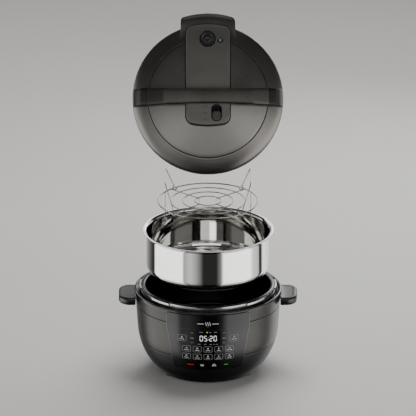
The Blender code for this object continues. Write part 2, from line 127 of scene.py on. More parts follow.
def lofted(name, loops, place, material, mirror=None, angle=40):
    # skins a row of closed loops, given in mm
    # mirror: in the last loop, point i faces point mirror - i across the gap, and is joined to it
    work = bmesh.new()
    rings = [[work.verts.new(Vector(p) * mm) for p in loop] for loop in loops]
    for ring, following in zip(rings, rings[1:]):
        for i in range(len(ring)):
            j = (i + 1) % len(ring)
            work.faces.new((ring[i], ring[j], following[j], following[i]))
    work.faces.new(rings[0][::-1])
    last = rings[-1]
    if mirror is None:
        work.faces.new(last)
    else:
        for i in range(mirror // 2, (mirror + len(last)) // 2):
            corners = [last[k % len(last)] for k in (i, i + 1, mirror - i - 1, mirror - i)]
            work.faces.new(list(dict.fromkeys(corners)))
    return finishMesh(name, work, place, material, angle)


def turned(name, profile, place, material, steps=144, at=(0, 0), radius=0.6, angle=40, count=3):
    # turns (radius, height) points in mm about the place's axis
    # a profile that starts on the axis also ends on it, and is closed there
    onAxis = profile[0][0] == 0
    points = softened(profile, radius, count, closed=not onAxis)
    work = bmesh.new()
    rings = []
    for p in points:
        if p.x < 1e-6:
            rings.append([work.verts.new((at[0] * mm, at[1] * mm, p.y * mm))])
            continue
        turns = [2 * math.pi * i / steps for i in range(steps)]
        rings.append([work.verts.new(((at[0] + p.x * math.cos(a)) * mm, (at[1] + p.x * math.sin(a)) * mm,
                                      p.y * mm)) for a in turns])
    for ring, following in list(zip(rings, rings[1:])) + ([] if onAxis else [(rings[-1], rings[0])]):
        for i in range(steps):
            j = (i + 1) % steps
            corners = [ring[i % len(ring)], ring[j % len(ring)], following[j % len(following)],
                       following[i % len(following)]]
            work.faces.new(list(dict.fromkeys(corners)))
    return finishMesh(name, work, place, material, angle)


def arc(cx, cy, r, start, end, count):
    turns = [math.radians(start + (end - start) * i / count) for i in range(count + 1)]
    return [(cx + r * math.cos(a), cy + r * math.sin(a)) for a in turns]


def roundedBox(cx, cy, width, height, r, count=6):
    w, h = width / 2 - r, height / 2 - r
    corners = ((w, h, 0), (-w, h, 90), (-w, -h, 180), (w, -h, 270))
    return [p for x, y, turn in corners for p in arc(cx + x, cy + y, r, turn, turn + 90, count)]


def prism(name, outline, low, high, place, material=None, soft=0.0):
    # an outline in the place's x and y, from low to high, with soft edges
    made = lofted(name, [[(x, y, z) for x, y in outline] for z in (low, high)], place, material)
    if soft:
        edge = made.modifiers.new("softEdge", "BEVEL")
        edge.width, edge.segments, edge.limit_method = soft * mm, 3, "ANGLE"
        edge.angle_limit = math.radians(50)
    return made


def settle(made):
    # applies the modifiers, keeping the object
    bpy.context.view_layer.update()
    mesh = bpy.data.meshes.new_from_object(made.evaluated_get(bpy.context.evaluated_depsgraph_get()))
    made.modifiers.clear()
    made.data = mesh
    return made


def carve(made, operation, *others, angle=35):
    for other in others:
        change = made.modifiers.new("carve", "BOOLEAN")
        change.operation, change.object, change.solver = operation, other, "EXACT"
    settle(made)
    for other in others:
        bpy.data.objects.remove(other)
    made.data.shade_smooth()
    made.data.set_sharp_from_angle(angle=math.radians(angle))
    return made


def wire(name, points, thickness, place, material, closed=False):
    # a drawn wire through points in mm
    curve = bpy.data.curves.new(name, "CURVE")
    curve.dimensions = "3D"
    spline = curve.splines.new("POLY")
    spline.points.add(len(points) - 1)
    for knot, p in zip(spline.points, points):
        knot.co = (*(place @ (Vector(p).to_3d() * mm)), 1)
    spline.use_cyclic_u = closed
    spline.use_smooth = True
    curve.bevel_depth = thickness / 2 * mm
    curve.bevel_resolution = 3
    curve.use_fill_caps = True
    made = bpy.data.objects.new(name, curve)
    bpy.context.scene.collection.objects.link(made)
    curve.materials.append(finishes[material])
    return made


def seat(made, body, slot, *nodes):
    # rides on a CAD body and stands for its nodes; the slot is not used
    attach(made, body)
    if nodes:
        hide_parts(*nodes)
    return made


def alongSheen(tree, shader, way):
    # turns the piece's own direction into the one the sheen is drawn out along
    lie = addNode(tree, "ShaderNodeVectorTransform", {
        "vector_type": "VECTOR", "convert_from": "OBJECT", "convert_to": "WORLD"}, {"Vector": way}).outputs[0]
    tree.links.new(lie, shader.inputs["Tangent"])


def newSurface(name, facts):
    # facts: two sRGB colours, roughness low and high, and a pattern with its real size in mm
    material = bpy.data.materials.new(name)
    material.use_nodes = True
    tree = material.node_tree
    shader = tree.nodes["Principled BSDF"]
    shader.inputs["Metallic"].default_value = facts.get("metallic", 0.0)
    shader.inputs["IOR"].default_value = facts.get("ior", 1.5)
    shader.inputs["Anisotropic"].default_value = facts.get("anisotropic", 0.0)
    shader.inputs["Subsurface Weight"].default_value = facts.get("subsurface", 0.0)
    onLid = facts.get("onLid", False)
    middle, tilt = (lidCentre, (lidTilt, 0, 0)) if onLid else (Vector((0, axisY, 0)), (0, 0, 0))
    place = addNode(tree, "ShaderNodeMapping", {"vector_type": "TEXTURE"}, {
        "Vector": addNode(tree, "ShaderNodeTexCoord").outputs["Object"], "Location": middle,
        "Rotation": tilt}).outputs[0]
    pattern = facts.get("pattern", "grain")
    if pattern == "spun":                                      # rings round the local axis, as a lathe leaves
        parts = addNode(tree, "ShaderNodeSeparateXYZ", inputs={"Vector": place})
        flat = addNode(tree, "ShaderNodeCombineXYZ", inputs={
            "X": parts.outputs["X"], "Y": parts.outputs["Y"]})
        away = addNode(tree, "ShaderNodeVectorMath", {"operation": "LENGTH"},
                       {"Vector": flat.outputs["Vector"]})
        drift = addNode(tree, "ShaderNodeVectorMath", {"operation": "SCALE"},
                        {"Vector": place, "Scale": 0.02})
        ringed = addNode(tree, "ShaderNodeCombineXYZ", inputs={
            "X": away.outputs["Value"], "Y": parts.outputs["Z"]})
        vector = addNode(tree, "ShaderNodeVectorMath", {"operation": "ADD"},
                         {0: ringed.outputs["Vector"], 1: drift.outputs["Vector"]}).outputs["Vector"]
        if "anisotropic" in facts:                             # the sheen fans out across the turning lines
            fan = addNode(tree, "ShaderNodeMapping", {"vector_type": "VECTOR"}, {
                "Vector": flat.outputs["Vector"], "Rotation": tilt}).outputs[0]
            alongSheen(tree, shader, fan)
    elif pattern == "brushed":                                 # long strokes along x, the sheen across them
        vector = addNode(tree, "ShaderNodeMapping", inputs={
            "Vector": place, "Scale": (0.03, 1, 1)}).outputs["Vector"]
        alongSheen(tree, shader, (0, math.cos(tilt[0]), math.sin(tilt[0])))
    elif pattern == "drawn":                                   # strokes round an upright wall
        vector = addNode(tree, "ShaderNodeMapping", inputs={
            "Vector": place, "Scale": (0.05, 0.05, 1)}).outputs["Vector"]
    else:
        vector = place
    fine = addNode(tree, "ShaderNodeTexNoise", inputs={
        "Vector": vector, "Scale": 1 / (facts["size"] * mm), "Detail": 4.0, "Roughness": 0.6}).outputs["Fac"]
    broad = addNode(tree, "ShaderNodeTexNoise", inputs={
        "Vector": place, "Scale": 1 / (facts.get("cloud", 60) * mm), "Detail": 2.0}).outputs["Fac"]
    shade = addNode(tree, "ShaderNodeMix", {"data_type": "FLOAT"},
                    {"Factor": 0.4, 2: fine, 3: broad}).outputs[0]
    spread = addNode(tree, "ShaderNodeMapRange", inputs={
        "Value": shade, "From Min": 0.3, "From Max": 0.7}).outputs[0]
    colour = addNode(tree, "ShaderNodeMix", {"data_type": "RGBA"}, {
        "Factor": spread, 6: hexColour(facts["colours"][0]), 7: hexColour(facts["colours"][1])}).outputs[2]
    low, high = facts["roughness"]
    rough = addNode(tree, "ShaderNodeMapRange", inputs={
        "Value": shade, "From Min": 0.25, "From Max": 0.75, "To Min": low, "To Max": high}).outputs[0]
    tree.links.new(colour, shader.inputs["Base Color"])
    tree.links.new(rough, shader.inputs["Roughness"])
    if facts.get("bump"):
        relief = addNode(tree, "ShaderNodeBump", inputs={
            "Height": fine, "Strength": facts["bump"],
            "Distance": facts["size"] * mm * 0.25}).outputs["Normal"]
        tree.links.new(relief, shader.inputs["Normal"])
    if facts.get("glow"):
        shader.inputs["Emission Color"].default_value = hexColour(facts["colours"][1])
        shader.inputs["Emission Strength"].default_value = facts["glow"]
    return material


surfaces = {
    # pressed steel under a dark metallic lacquer: a soft grey sheen that falls off quickly
    "lacqueredSteel": {"colours": ("#3f3e3c", "#4a4946"), "roughness": (0.3, 0.4), "metallic": 0.85,
                       "pattern": "drawn", "size": 0.9, "bump": 0.04},
    # the lid's lacquer over a spun dome: a fan of sheen, with rings too fine to show drawn at 0.8 mm
    "spunLacquer": {"colours": ("#6c6a66", "#7d7b76"), "roughness": (0.26, 0.34), "metallic": 0.95,
                    "onLid": True, "pattern": "spun", "size": 0.8, "bump": 0.04, "anisotropic": 0.75},
    # the same lacquer on the lid's outer ring, where the turning lines are coarser
    "ringLacquer": {"colours": ("#64625f", "#74716c"), "roughness": (0.26, 0.34), "metallic": 0.95,
                    "onLid": True, "pattern": "spun", "size": 1.0, "bump": 0.04, "anisotropic": 0.7},
    # satin lacquer on the moulded spine: an even grey with a fine grain
    "satinLacquer": {"colours": ("#5d5b57", "#67655f"), "roughness": (0.42, 0.5), "metallic": 0.7,
                     "onLid": True, "size": 0.6, "bump": 0.06},
    # lacquer on the strap, brushed lengthways: streaks along it, and a sheen that lies across them
    "brushedLacquer": {"colours": ("#423f3c", "#625f5a"), "roughness": (0.3, 0.42), "metallic": 0.9,
                       "onLid": True, "pattern": "brushed", "size": 0.7, "bump": 0.12, "anisotropic": 0.7},
    # the strap's end caps, the same lacquer unbrushed and darker: a painted shade where the ends turn away
    # from the light; the dark steam marks on the spine use it too
    "capShadeAndMarkPaint": {"colours": ("#1c1c1b", "#252423"), "roughness": (0.4, 0.5), "metallic": 0.7, "onLid": True,
                   "size": 0.6, "bump": 0.05},
    # strips of dark mirror metal laid on the panel's chamfers, a painted highlight: a thin bright line along
    # an edge
    "chamferHighlightMetal": {"colours": ("#4b4a49", "#585755"), "roughness": (0.18, 0.26), "metallic": 1.0,
                   "size": 1.2},
    # injection moulded polypropylene, spark eroded grain of about 0.5 mm: a black that stays dull
    "grainedPolypropylene": {"colours": ("#070707", "#0d0d0c"), "roughness": (0.36, 0.46), "size": 0.5,
                             "bump": 0.12, "ior": 1.49},
    # polished ABS, with the slow waviness of a moulding: sharp highlights that waver a little
    "polishedAbs": {"colours": ("#060606", "#0a0a0a"), "roughness": (0.07, 0.13), "size": 9.0, "bump": 0.02,
                    "ior": 1.54},
    # satin ABS, for the side handles and small controls: a black with wide, dim highlights
    "satinAbs": {"colours": ("#101010", "#181817"), "roughness": (0.3, 0.38), "size": 0.6, "bump": 0.06,
                 "ior": 1.54},
    # the slider's knob, ABS moulded in a dark grey: a shade lighter than its recess, so its ribs show
    "knobGrey": {"colours": ("#2f2e2d", "#3b3a38"), "roughness": (0.35, 0.45), "size": 0.6, "bump": 0.06,
                 "ior": 1.54},
    # hard-coated film over the control panel: smooth, with a faint blur in its gloss
    "panelFilm": {"colours": ("#070707", "#0b0b0b"), "roughness": (0.16, 0.22), "size": 0.4, "bump": 0.02,
                  "ior": 1.5},
    # smoked acrylic, polished: the deepest black on the panel
    "smokedAcrylic": {"colours": ("#030303", "#050505"), "roughness": (0.03, 0.06), "size": 6.0, "ior": 1.49},
    # deep drawn stainless steel, mirror polished: clear upright bands of light and dark
    "mirrorSteel": {"colours": ("#d3d2cf", "#dddcd9"), "roughness": (0.04, 0.07), "metallic": 1.0,
                    "pattern": "drawn", "size": 14.0},
    # stainless sheet, stamped and lightly brushed in rings: a blurred reflection, finely lined
    "stampedSteel": {"colours": ("#a9a8a5", "#bdbcb8"), "roughness": (0.2, 0.32), "metallic": 1.0,
                     "onLid": True, "pattern": "spun", "size": 0.7, "bump": 0.08},
    # drawn and electropolished stainless wire: bright, a little soft
    "polishedWire": {"colours": ("#8f8e8b", "#a3a29f"), "roughness": (0.14, 0.22), "metallic": 1.0,
                     "size": 1.5, "bump": 0.03},
    # bare aluminium, machined in rings: a pale soft grey with fine lines
    "machinedAluminium": {"colours": ("#9a9b9d", "#b2b3b5"), "roughness": (0.28, 0.4), "metallic": 1.0,
                          "pattern": "spun", "size": 1.0, "bump": 0.15},
    # cured silicone, a little translucent: milky, with soft edges to its shadows
    "mouldedSilicone": {"colours": ("#a7acad", "#b4b9ba"), "roughness": (0.4, 0.5), "size": 1.5, "bump": 0.04,
                        "ior": 1.41, "subsurface": 0.15},
    # nitrile rubber, moulded matt: the dark lines in the seams; round the spine it is a painted shade, a
    # black line for the groove's shadow
    "rubberAndGrooveShade": {"colours": ("#0c0c0c", "#131313"), "roughness": (0.7, 0.85), "size": 0.4, "bump": 0.25,
                      "ior": 1.52},
    # glass-epoxy board under green resist: a dull green, a little uneven
    "solderResist": {"colours": ("#0d3a1c", "#124a26"), "roughness": (0.3, 0.45), "size": 1.2, "bump": 0.1},
    # enamelled steel of the cooking chamber: a deep black gloss
    "blackEnamel": {"colours": ("#070707", "#0b0b0b"), "roughness": (0.12, 0.2), "size": 1.0, "bump": 0.04,
                    "ior": 1.52},
    # pad-printed inks with a painted glow: crisp marks that stay readable in the shade
    "whiteInk": {"colours": ("#b4b4b4", "#cccccc"), "roughness": (0.45, 0.55), "size": 0.3, "glow": 0.3},
    "greyInk": {"colours": ("#8e8e8e", "#a2a2a2"), "roughness": (0.45, 0.55), "size": 0.3, "glow": 0.12},
    "redInk": {"colours": ("#a3151b", "#c8202a"), "roughness": (0.45, 0.55), "size": 0.3, "glow": 0.4},
    "greenInk": {"colours": ("#3b9a3f", "#4fb352"), "roughness": (0.45, 0.55), "size": 0.3, "glow": 0.4},
    # light-emitting segments behind the acrylic: the brightest marks on the panel
    "whiteSegment": {"colours": ("#e8ecf0", "#f4f7fa"), "roughness": (0.3, 0.4), "size": 0.5, "glow": 0.9},
    "yellowSegment": {"colours": ("#d8c020", "#f0d830"), "roughness": (0.3, 0.4), "size": 0.5, "glow": 1.2},
}
finishes = {name: newSurface(name, facts) for name, facts in surfaces.items()}
print("materials made:", len(finishes))


studio = {"floorColours": ("#d8d6d2", "#dedcd8"), "elevation": 20.75, "distance": 31.4, "lens": 1200.0,
          "aimHeight": 385.6, "backdrop": "#817f7c", "glow": 3.0,
          # brightness of the softboxes round the set, by turn from the front: -1 and 1 are straight behind
          "panels": ((-1.0, 0.22), (-0.72, 0.02), (-0.67, 0.02), (-0.655, 0.95), (-0.28, 1.0), (-0.26, 0.20),
                     (-0.19, 0.34), (-0.10, 0.12), (-0.05, 0.012), (0.09, 0.012), (0.14, 0.12), (0.17, 0.95),
                     (0.48, 1.0), (0.52, 0.45), (0.61, 0.3), (0.63, 0.02), (0.67, 0.02), (0.70, 0.7),
                     (1.0, 0.22)),
          # and by height: -1 is straight down, 1 straight up
          "heights": ((-1.0, 0.02), (-0.88, 0.02), (-0.75, 0.07), (-0.58, 0.55), (-0.42, 1.0), (0.0, 1.0),
                      (0.14, 0.6), (0.32, 0.14), (0.5, 0.04), (0.96, 0.02), (0.985, 0.6))}


def makeStudio():
    floor = bpy.data.meshes.new("studioFloor")
    floor.from_pydata([(-6, -6, 0), (6, -6, 0), (6, 6, 0), (-6, 6, 0)], [], [(0, 1, 2, 3)])
    ground = bpy.data.objects.new("studioFloor", floor)
    bpy.context.scene.collection.objects.link(ground)
    floor.materials.append(newSurface("paintedFloor", {"colours": studio["floorColours"],
                                                       "roughness": (0.6, 0.7), "size": 4.0, "cloud": 400}))
    # the steel mirrors the softboxes, not the floor
    ground.visible_glossy = False

    camera = bpy.data.objects.new("camera", bpy.data.cameras.new("camera"))
    bpy.context.scene.collection.objects.link(camera)
    tilt = math.radians(studio["elevation"])
    aim = Vector((0, axisY, studio["aimHeight"] * mm))
    camera.location = aim + Vector((0, -math.cos(tilt), math.sin(tilt))) * studio["distance"]
    camera.rotation_euler = (math.pi / 2 - tilt, 0, 0)
    camera.data.lens = studio["lens"]
    camera.data.sensor_width = 36
    camera.data.clip_end = 100
    bpy.context.scene.camera = camera

    world = bpy.data.worlds.new("studio")
    world.use_nodes = True
    tree = world.node_tree
    glow = tree.nodes["Background"]
    way = addNode(tree, "ShaderNodeSeparateXYZ", inputs={
        "Vector": addNode(tree, "ShaderNodeTexCoord").outputs["Generated"]})
    toCamera = addNode(tree, "ShaderNodeMath", {"operation": "MULTIPLY"},
                       {0: way.outputs["Y"], 1: -1.0}).outputs[0]
    turn = addNode(tree, "ShaderNodeMath", {"operation": "ARCTAN2"},
                   {0: way.outputs["X"], 1: toCamera}).outputs[0]
    rings = []
    for value, spread, stops in ((turn, math.pi, studio["panels"]),
                                 (way.outputs["Z"], 1.0, studio["heights"])):
        share = addNode(tree, "ShaderNodeMapRange", inputs={
            "Value": value, "From Min": -spread, "From Max": spread})
        ramp = addNode(tree, "ShaderNodeValToRGB", inputs={"Fac": share.outputs[0]})
        for i, (where, level) in enumerate(stops):
            point = ramp.color_ramp.elements[i] if i < 2 else ramp.color_ramp.elements.new(1.0)
            point.position, point.color = (where + 1) / 2, (level, level, level, 1)
        rings.append(ramp.outputs["Color"])
    softboxes = addNode(tree, "ShaderNodeMix", {"data_type": "RGBA", "blend_type": "MULTIPLY"},
                        {"Factor": 1.0, 6: rings[0], 7: rings[1]}).outputs[2]
    seen = addNode(tree, "ShaderNodeLightPath").outputs["Is Camera Ray"]
    sky = addNode(tree, "ShaderNodeMix", {"data_type": "RGBA"}, {
        "Factor": seen, 6: softboxes, 7: hexColour(studio["backdrop"])}).outputs[2]
    tree.links.new(sky, glow.inputs["Color"])
    glow.inputs["Strength"].default_value = studio["glow"]
    bpy.context.scene.world = world

    lamps = {  # place, aim, width, height, watts
        "overheadSoftbox": ((0.3, 0.7, 2.7), (0, 0.1, 0.3), 2.2, 1.4, 60),
        "frontCard": ((0.15, -3.2, 1.62), (0, 0, 0.68), 3.4, 1.35, 26),
        "rearCard": ((0.55, 1.65, 0.8), (0.18, 0, 0.2), 0.75, 0.5, 4),
        "rimCard": ((0, 2.6, 1.66), (0, 0, 0.6), 2.8, 0.8, 13),
    }
    for name, (where, target, width, height, power) in lamps.items():
        light = bpy.data.lights.new(name, "AREA")
        light.shape, light.size, light.size_y, light.energy = "RECTANGLE", width, height, power
        lamp = bpy.data.objects.new(name, light)
        bpy.context.scene.collection.objects.link(lamp)
        lamp.location = where
        lamp.rotation_euler = (Vector(target) - Vector(where)).to_track_quat("-Z", "Y").to_euler()
        lamp.visible_glossy = name != "overheadSoftbox"        # that one only fills, and leaves no highlight
        lamp.visible_camera = False


makeStudio()
print("studio ready")


body = {"profile": [(166.0, 193.0), (162.5, 150.0), (160.0, 110.0), (157.0, 85.0), (149.5, 60.0),
                    (140.0, 40.0), (130.0, 25.0), (118.0, 12.0), (111.0, 5.0)],
        "collarTop": 189.0, "seam": 160.0, "wrapFoot": 79.0, "wall": 3.0, "skin": 1.8, "step": 4.0}


def bodyRadius(z):
    # smooth curve through the body's profile
    knots = sorted((h, r) for r, h in body["profile"])
    i = max(0, min(len(knots) - 2, sum(1 for knot in knots if knot[0] <= z) - 1))

    def slope(k):
        a, b = knots[max(k - 1, 0)], knots[min(k + 1, len(knots) - 1)]
        return (b[1] - a[1]) / (b[0] - a[0])
    (z0, r0), (z1, r1) = knots[i], knots[i + 1]
    step = z1 - z0
    t = (z - z0) / step
    return ((2 * t ** 3 - 3 * t ** 2 + 1) * r0 + (t ** 3 - 2 * t ** 2 + t) * step * slope(i)
            + (-2 * t ** 3 + 3 * t ** 2) * r1 + (t ** 3 - t ** 2) * step * slope(i + 1))


def bodyWall(top, foot, thickness):
    # the body's profile between two heights, down the outside and back up the inside
    count = max(2, round((top - foot) / body["step"]))
    heights = [top + (foot - top) * i / count for i in range(count + 1)]
    outer = [(bodyRadius(z), z) for z in heights]
    return outer + [(r - thickness, z) for r, z in reversed(outer)]


def panelOpening():
    return prism("opening", roundedBox(0, 102, 144, 96, 8), 90, 200,
                 axisPlace @ Matrix.Rotation(math.pi / 2, 4, "X"))


def makeShells():
    foot = [(111, 5), (90, 5), (90, 8), (109.8, 8)]
    outer = bodyWall(body["wrapFoot"], 5.2, body["wall"])
    half = len(outer) // 2
    inner = [(r, z) for r, z in outer[half:] if z > 12]
    housing = turned("lowerHousing", outer[:half - 1] + foot + inner, axisPlace, "grainedPolypropylene",
                     radius=0.8, count=2)
    wrap = turned("sideWrap", bodyWall(body["seam"] - 0.5, body["wrapFoot"] + 0.5, body["skin"]), axisPlace,
                  "lacqueredSteel", radius=0.5, count=2)
    collar = turned("upperCollar", bodyWall(body["collarTop"], body["seam"] + 0.5, body["skin"]), axisPlace,
                    "lacqueredSteel", radius=0.5, count=2)
    carve(housing, "DIFFERENCE", panelOpening(),
          prism("socketHole", roundedBox(0, 66, 28.6, 20.6, 3), -200, -100,
                axisPlace @ Matrix.Rotation(math.pi / 2, 4, "X")))
    carve(wrap, "DIFFERENCE", panelOpening())
    seat(housing, "base", "black_plastic", "lower_housing")
    seat(wrap, "base", "dark_metallic", "side_wrap")
    seat(collar, "base", "dark_metallic", "upper_collar")
    for name, z in (("collarSeal", body["seam"]), ("wrapSeal", body["wrapFoot"])):
        out, back = bodyRadius(z) - 0.9, bodyRadius(z) - 2.6
        section = [(out, z + 1.2), (out, z - 1.2), (back, z - 1.2), (back, z + 1.2)]
        strip = turned(name, section, axisPlace, "rubberAndGrooveShade")
        carve(strip, "DIFFERENCE", panelOpening())
        seat(strip, "base", "foot_rubber")


def sectorOutline(rIn, rOut, middle, spread):
    low, high = middle - spread / 2, middle + spread / 2
    return arc(0, 0, rOut, low, high, 10) + arc(0, 0, rIn, high, low, 10)


def makeRim():
    ring = turned("rimRing", [(166.2, 193.5), (167, 191.5), (167, 189.3), (163.2, 189.3), (163.2, 184.5),
                              (152.9, 184.5), (152.9, 187.5), (160.6, 187.5), (161.6, 193.5)], axisPlace,
                  "polishedAbs", radius=1.6, count=5)
    seat(ring, "base", "gloss_black", "rim_ring")
    thick = 1.2
    liner = turned("innerLiner", [(151, 203), (151, 190), (151 - thick, 190), (151 - thick, 203 - thick),
                                  (143.5, 203 - thick), (143.5, 100), (126, 82.8), (103, 82.8), (103, 84),
                                  (125.5, 84), (142.3, 99.5), (142.3, 203)], axisPlace, "blackEnamel",
                   radius=3.0, count=6)
    seat(liner, "base", "gloss_black", "inner_liner")
    band = turned("lockingBand", [(152.4, 202), (152.4, 190), (151.6, 190), (151.6, 202)], axisPlace,
                  "stampedSteel", radius=0.2, count=1)
    lugs = [prism(f"lug{i}", sectorOutline(151.9, 155.8, i * 45, 20), 198, 202.2, axisPlace)
            for i in range(8)]
    carve(band, "UNION", *lugs)
    seat(band, "base", "steel", "locking_ring")


def makeSideHandles():
    for side, hand in ((-1, "left"), (1, "right")):
        def outline(inset):
            r = 26 - inset
            line = [(162 + inset * 0.3, -46 + inset)] + arc(174.5, -20, r, -90, 0, 14)
            line += arc(174.5, 20, r, 0, 90, 14) + [(162 + inset * 0.3, 46 - inset)]
            return [(side * (x + 2), y) for x, y in line]
        heights = ((165.6, 7), (166.2, 4), (168, 1.6), (171, 0.4), (175, 0), (179, 0), (181.2, 0.6),
                   (182.8, 1.9), (183.7, 3.8), (183.9, 6), (183.2, 9), (182.9, 12))
        grip = lofted(f"sideHandle_{hand}", [[(x, y, z) for x, y in outline(inset)] for z, inset in heights],
                      axisPlace, "satinAbs", angle=60)
        wallCutter = turned("bodyClearance", [(0, 200), (166.7, 200), (166.7, 150), (0, 150)], axisPlace,
                            None, radius=0.01)
        carve(grip, "DIFFERENCE", wallCutter, angle=50)
        seat(grip, "base", "black_plastic", f"handle_{hand}")


def makeInside():
    plate = [(101, 93.6)]
    for r in range(96, 20, -9):                                # shallow turned grooves
        plate += [(r + 1.2, 94.0), (r + 0.6, 93.5), (r - 0.6, 93.5), (r - 1.2, 94.0)]
    plate = [(101, 86.5)] + [(98, 84.5), (16, 84.5), (16, 94.0)] + plate[::-1]
    made = turned("heatingPlate", plate, axisPlace, "machinedAluminium", radius=0.3, count=1)
    seat(made, "base", "aluminium", "heating_plate")
    cap = turned("sensorCap", [(0, 96.6), (6, 96.65), (11, 96.5), (13.8, 96.1), (14.5, 95.2), (14.5, 90.5),
                               (5, 90.5), (5, 82.5), (0, 82.5)], axisPlace, "machinedAluminium", steps=64,
                 radius=0.5)
    seat(cap, "sensor", "aluminium", "sensor_cap")
    tray = turned("bottomCover", [(0, 7.6), (88, 7.6), (89.7, 6.8), (89.7, 5), (60, 5), (58, 5.6), (20, 5.6),
                                  (18, 5), (0, 5)], axisPlace, "grainedPolypropylene", radius=0.4)
    slots = [prism("slot", roundedBox(x, y, 4.2, 46, 2.0), 0, 12, axisPlace)
             for x in (-52, -44, -36, -28, 28, 36, 44, 52) for y in (-28, 28)]
    carve(tray, "DIFFERENCE", *slots)
    seat(tray, "base", "black_plastic", "bottom_cover")
    for depth in ("front", "back"):
        for hand in ("left", "right"):
            low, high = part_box(f"foot_{depth}_{hand}")
            at = ((low.x + high.x) / 2 / mm, (low.y + high.y) / 2 / mm - axisY / mm)
            pad = [(0, 4.7), (9, 4.7), (9, 2.4), (8.2, 0), (4.5, 0), (4.0, 0.8), (0, 0.8)]
            foot = turned(f"foot_{depth}_{hand}_pad", pad, axisPlace, "rubberAndGrooveShade", steps=48, at=at,
                          radius=0.7)
            seat(foot, "base", "foot_rubber", f"foot_{depth}_{hand}")
    stays = {"heat_shield": "machinedAluminium", "power_board": "solderResist",
             "control_board": "solderResist", "display_module": "satinAbs", "sensor_spring": "polishedWire",
             "wire_harness": "rubberAndGrooveShade", "pot_base": "stampedSteel", "seal_frame": "polishedWire"}
    for node, look in stays.items():                           # hidden pieces keep their CAD shape
        held = frame["nodes"][node]
        held.data.materials.clear()
        held.data.materials.append(finishes[look])


def makeInlet():
    turn = axisPlace @ Matrix.Rotation(math.pi / 2, 4, "X")
    block = prism("powerInlet", roundedBox(0, 66, 28, 20, 2.7), -150, -132, turn, "satinAbs", soft=0.6)
    carve(settle(block), "DIFFERENCE", prism("socket", roundedBox(0, 66, 22.5, 14.5, 2.5), -160, -137, turn))
    seat(block, "base", "black_plastic", "power_inlet")
    for i, (x, z) in enumerate(((-6, 64), (6, 64), (0, 69))):
        blade = prism(f"inletPin_{i}", roundedBox(x, z, 2.4, 5.0, 0.9), -147.5, -136.5, turn, "polishedWire",
                      soft=0.3)
        seat(settle(blade), "base", "steel")


def makeCup():
    def outline(inset, hollow):
        r = 8 - inset
        front = 169.5 if hollow else 167.6
        sides = [(inset - 32, front), (32 - inset, front)]
        return sides + arc(24, 180, r, 0, 90, 8) + arc(-24, 180, r, 90, 180, 8)
    outside = ((120.2, 3), (121.4, 1.1), (124, 0.2), (140, 0), (175, 0), (177.4, 0.2), (178, 0.9))
    inside = ((178, 1.3), (176, 1.8), (124, 1.9), (122, 3.5))
    loops = [[(x, y, z) for x, y in outline(i, False)] for z, i in outside]
    inner = [[(x, y, z) for x, y in outline(i, True)] for z, i in inside]
    cup = lofted("condensationCup", loops + inner, axisPlace, "grainedPolypropylene", angle=50)
    seat(cup, "cup", "black_plastic", "condensation_cup")


makeShells()
makeRim()
makeSideHandles()
makeInside()
makeInlet()
makeCup()
print("base ready")


panel = {"top": 188.2, "foot": 50.0, "halfTop": 94.0, "halfFoot": 76.0, "bend": 158.0, "face": 3.0,
         "back": 0.4, "seam": 153.0, "cell": 6.0, "ink": 0.07}
window = (0.0, 132.5, 54.0, 37.0)
rockers = {"rocker_left": (-36.5, 133.0, 11.0, 34.0), "rocker_right": (36.5, 133.0, 11.0, 34.0)}
keyBoxes = {"key_pressure": (-59.2, 130.5, 21.0, 17.0), "key_delay": (59.2, 130.5, 21.0, 17.0),
            "key_cancel": (-39.8, 64.0, 20.0, 11.0), "key_keep_warm": (-13.3, 64.0, 20.0, 11.0),
            "key_vent": (13.9, 64.0, 20.0, 11.0), "key_start": (40.8, 64.0, 20.0, 11.0)}
for i in range(10):
    keyBoxes[f"key_program_{i + 1:02d}"] = ((i % 5 - 2) * 24.3, 105.3 - 19.5 * (i // 5), 20.3, 15.5)


def wrapped(name, outlines, outer, inner, material):
    # flat outlines in (x, z), with holes, laid on the body's curved front between two offsets
    curve = bpy.data.curves.new(name, "CURVE")
    curve.dimensions, curve.fill_mode = "2D", "BOTH"
    for outline in outlines:
        spline = curve.splines.new("POLY")
        spline.points.add(len(outline) - 1)
        for knot, (x, z) in zip(spline.points, outline):
            knot.co = (x, z, 0, 1)
        spline.use_cyclic_u = True
    holder = bpy.data.objects.new(name, curve)
    bpy.context.scene.collection.objects.link(holder)
    bpy.context.view_layer.update()
    flat = bpy.data.meshes.new_from_object(holder.evaluated_get(bpy.context.evaluated_depsgraph_get()))
    bpy.data.objects.remove(holder)
    work = bmesh.new()
    work.from_mesh(flat)
    bmesh.ops.remove_doubles(work, verts=work.verts, dist=0.0005)
    step = panel["cell"]                                       # fine enough to follow the curve
    xs, zs = [v.co.x for v in work.verts], [v.co.y for v in work.verts]
    for values, normal in ((xs, Vector((1, 0, 0))), (zs, Vector((0, 1, 0)))):
        for k in range(math.ceil(min(values) / step), math.ceil(max(values) / step)):
            bmesh.ops.bisect_plane(work, geom=work.verts[:] + work.edges[:] + work.faces[:], dist=0.0001,
                                   plane_co=normal * (k * step), plane_no=normal)
    front = work.faces[:]
    made = bmesh.ops.extrude_face_region(work, geom=front)
    back = {v for v in made["geom"] if isinstance(v, bmesh.types.BMVert)}
    for v in work.verts:
        x, z = v.co.x, v.co.y
        r = bodyRadius(z) + (inner if v in back else outer)
        v.co = Vector((x, -math.sqrt(r * r - x * x), z)) * mm
    return finishMesh(name, work, axisPlace, material, angle=30)


def frameLine(box, width, r=2.6, inset=0.5):
    # a printed outline just inside a key's edge
    x, z, w, h = box
    return [roundedBox(x, z, w - 2 * inset, h - 2 * inset, r, 4),
            roundedBox(x, z, w - 2 * inset - 2 * width, h - 2 * inset - 2 * width, r - width * 0.8, 4)]


def bar(x, z, w, h):
    return [(x - w / 2, z - h / 2), (x + w / 2, z - h / 2), (x + w / 2, z + h / 2), (x - w / 2, z + h / 2)]


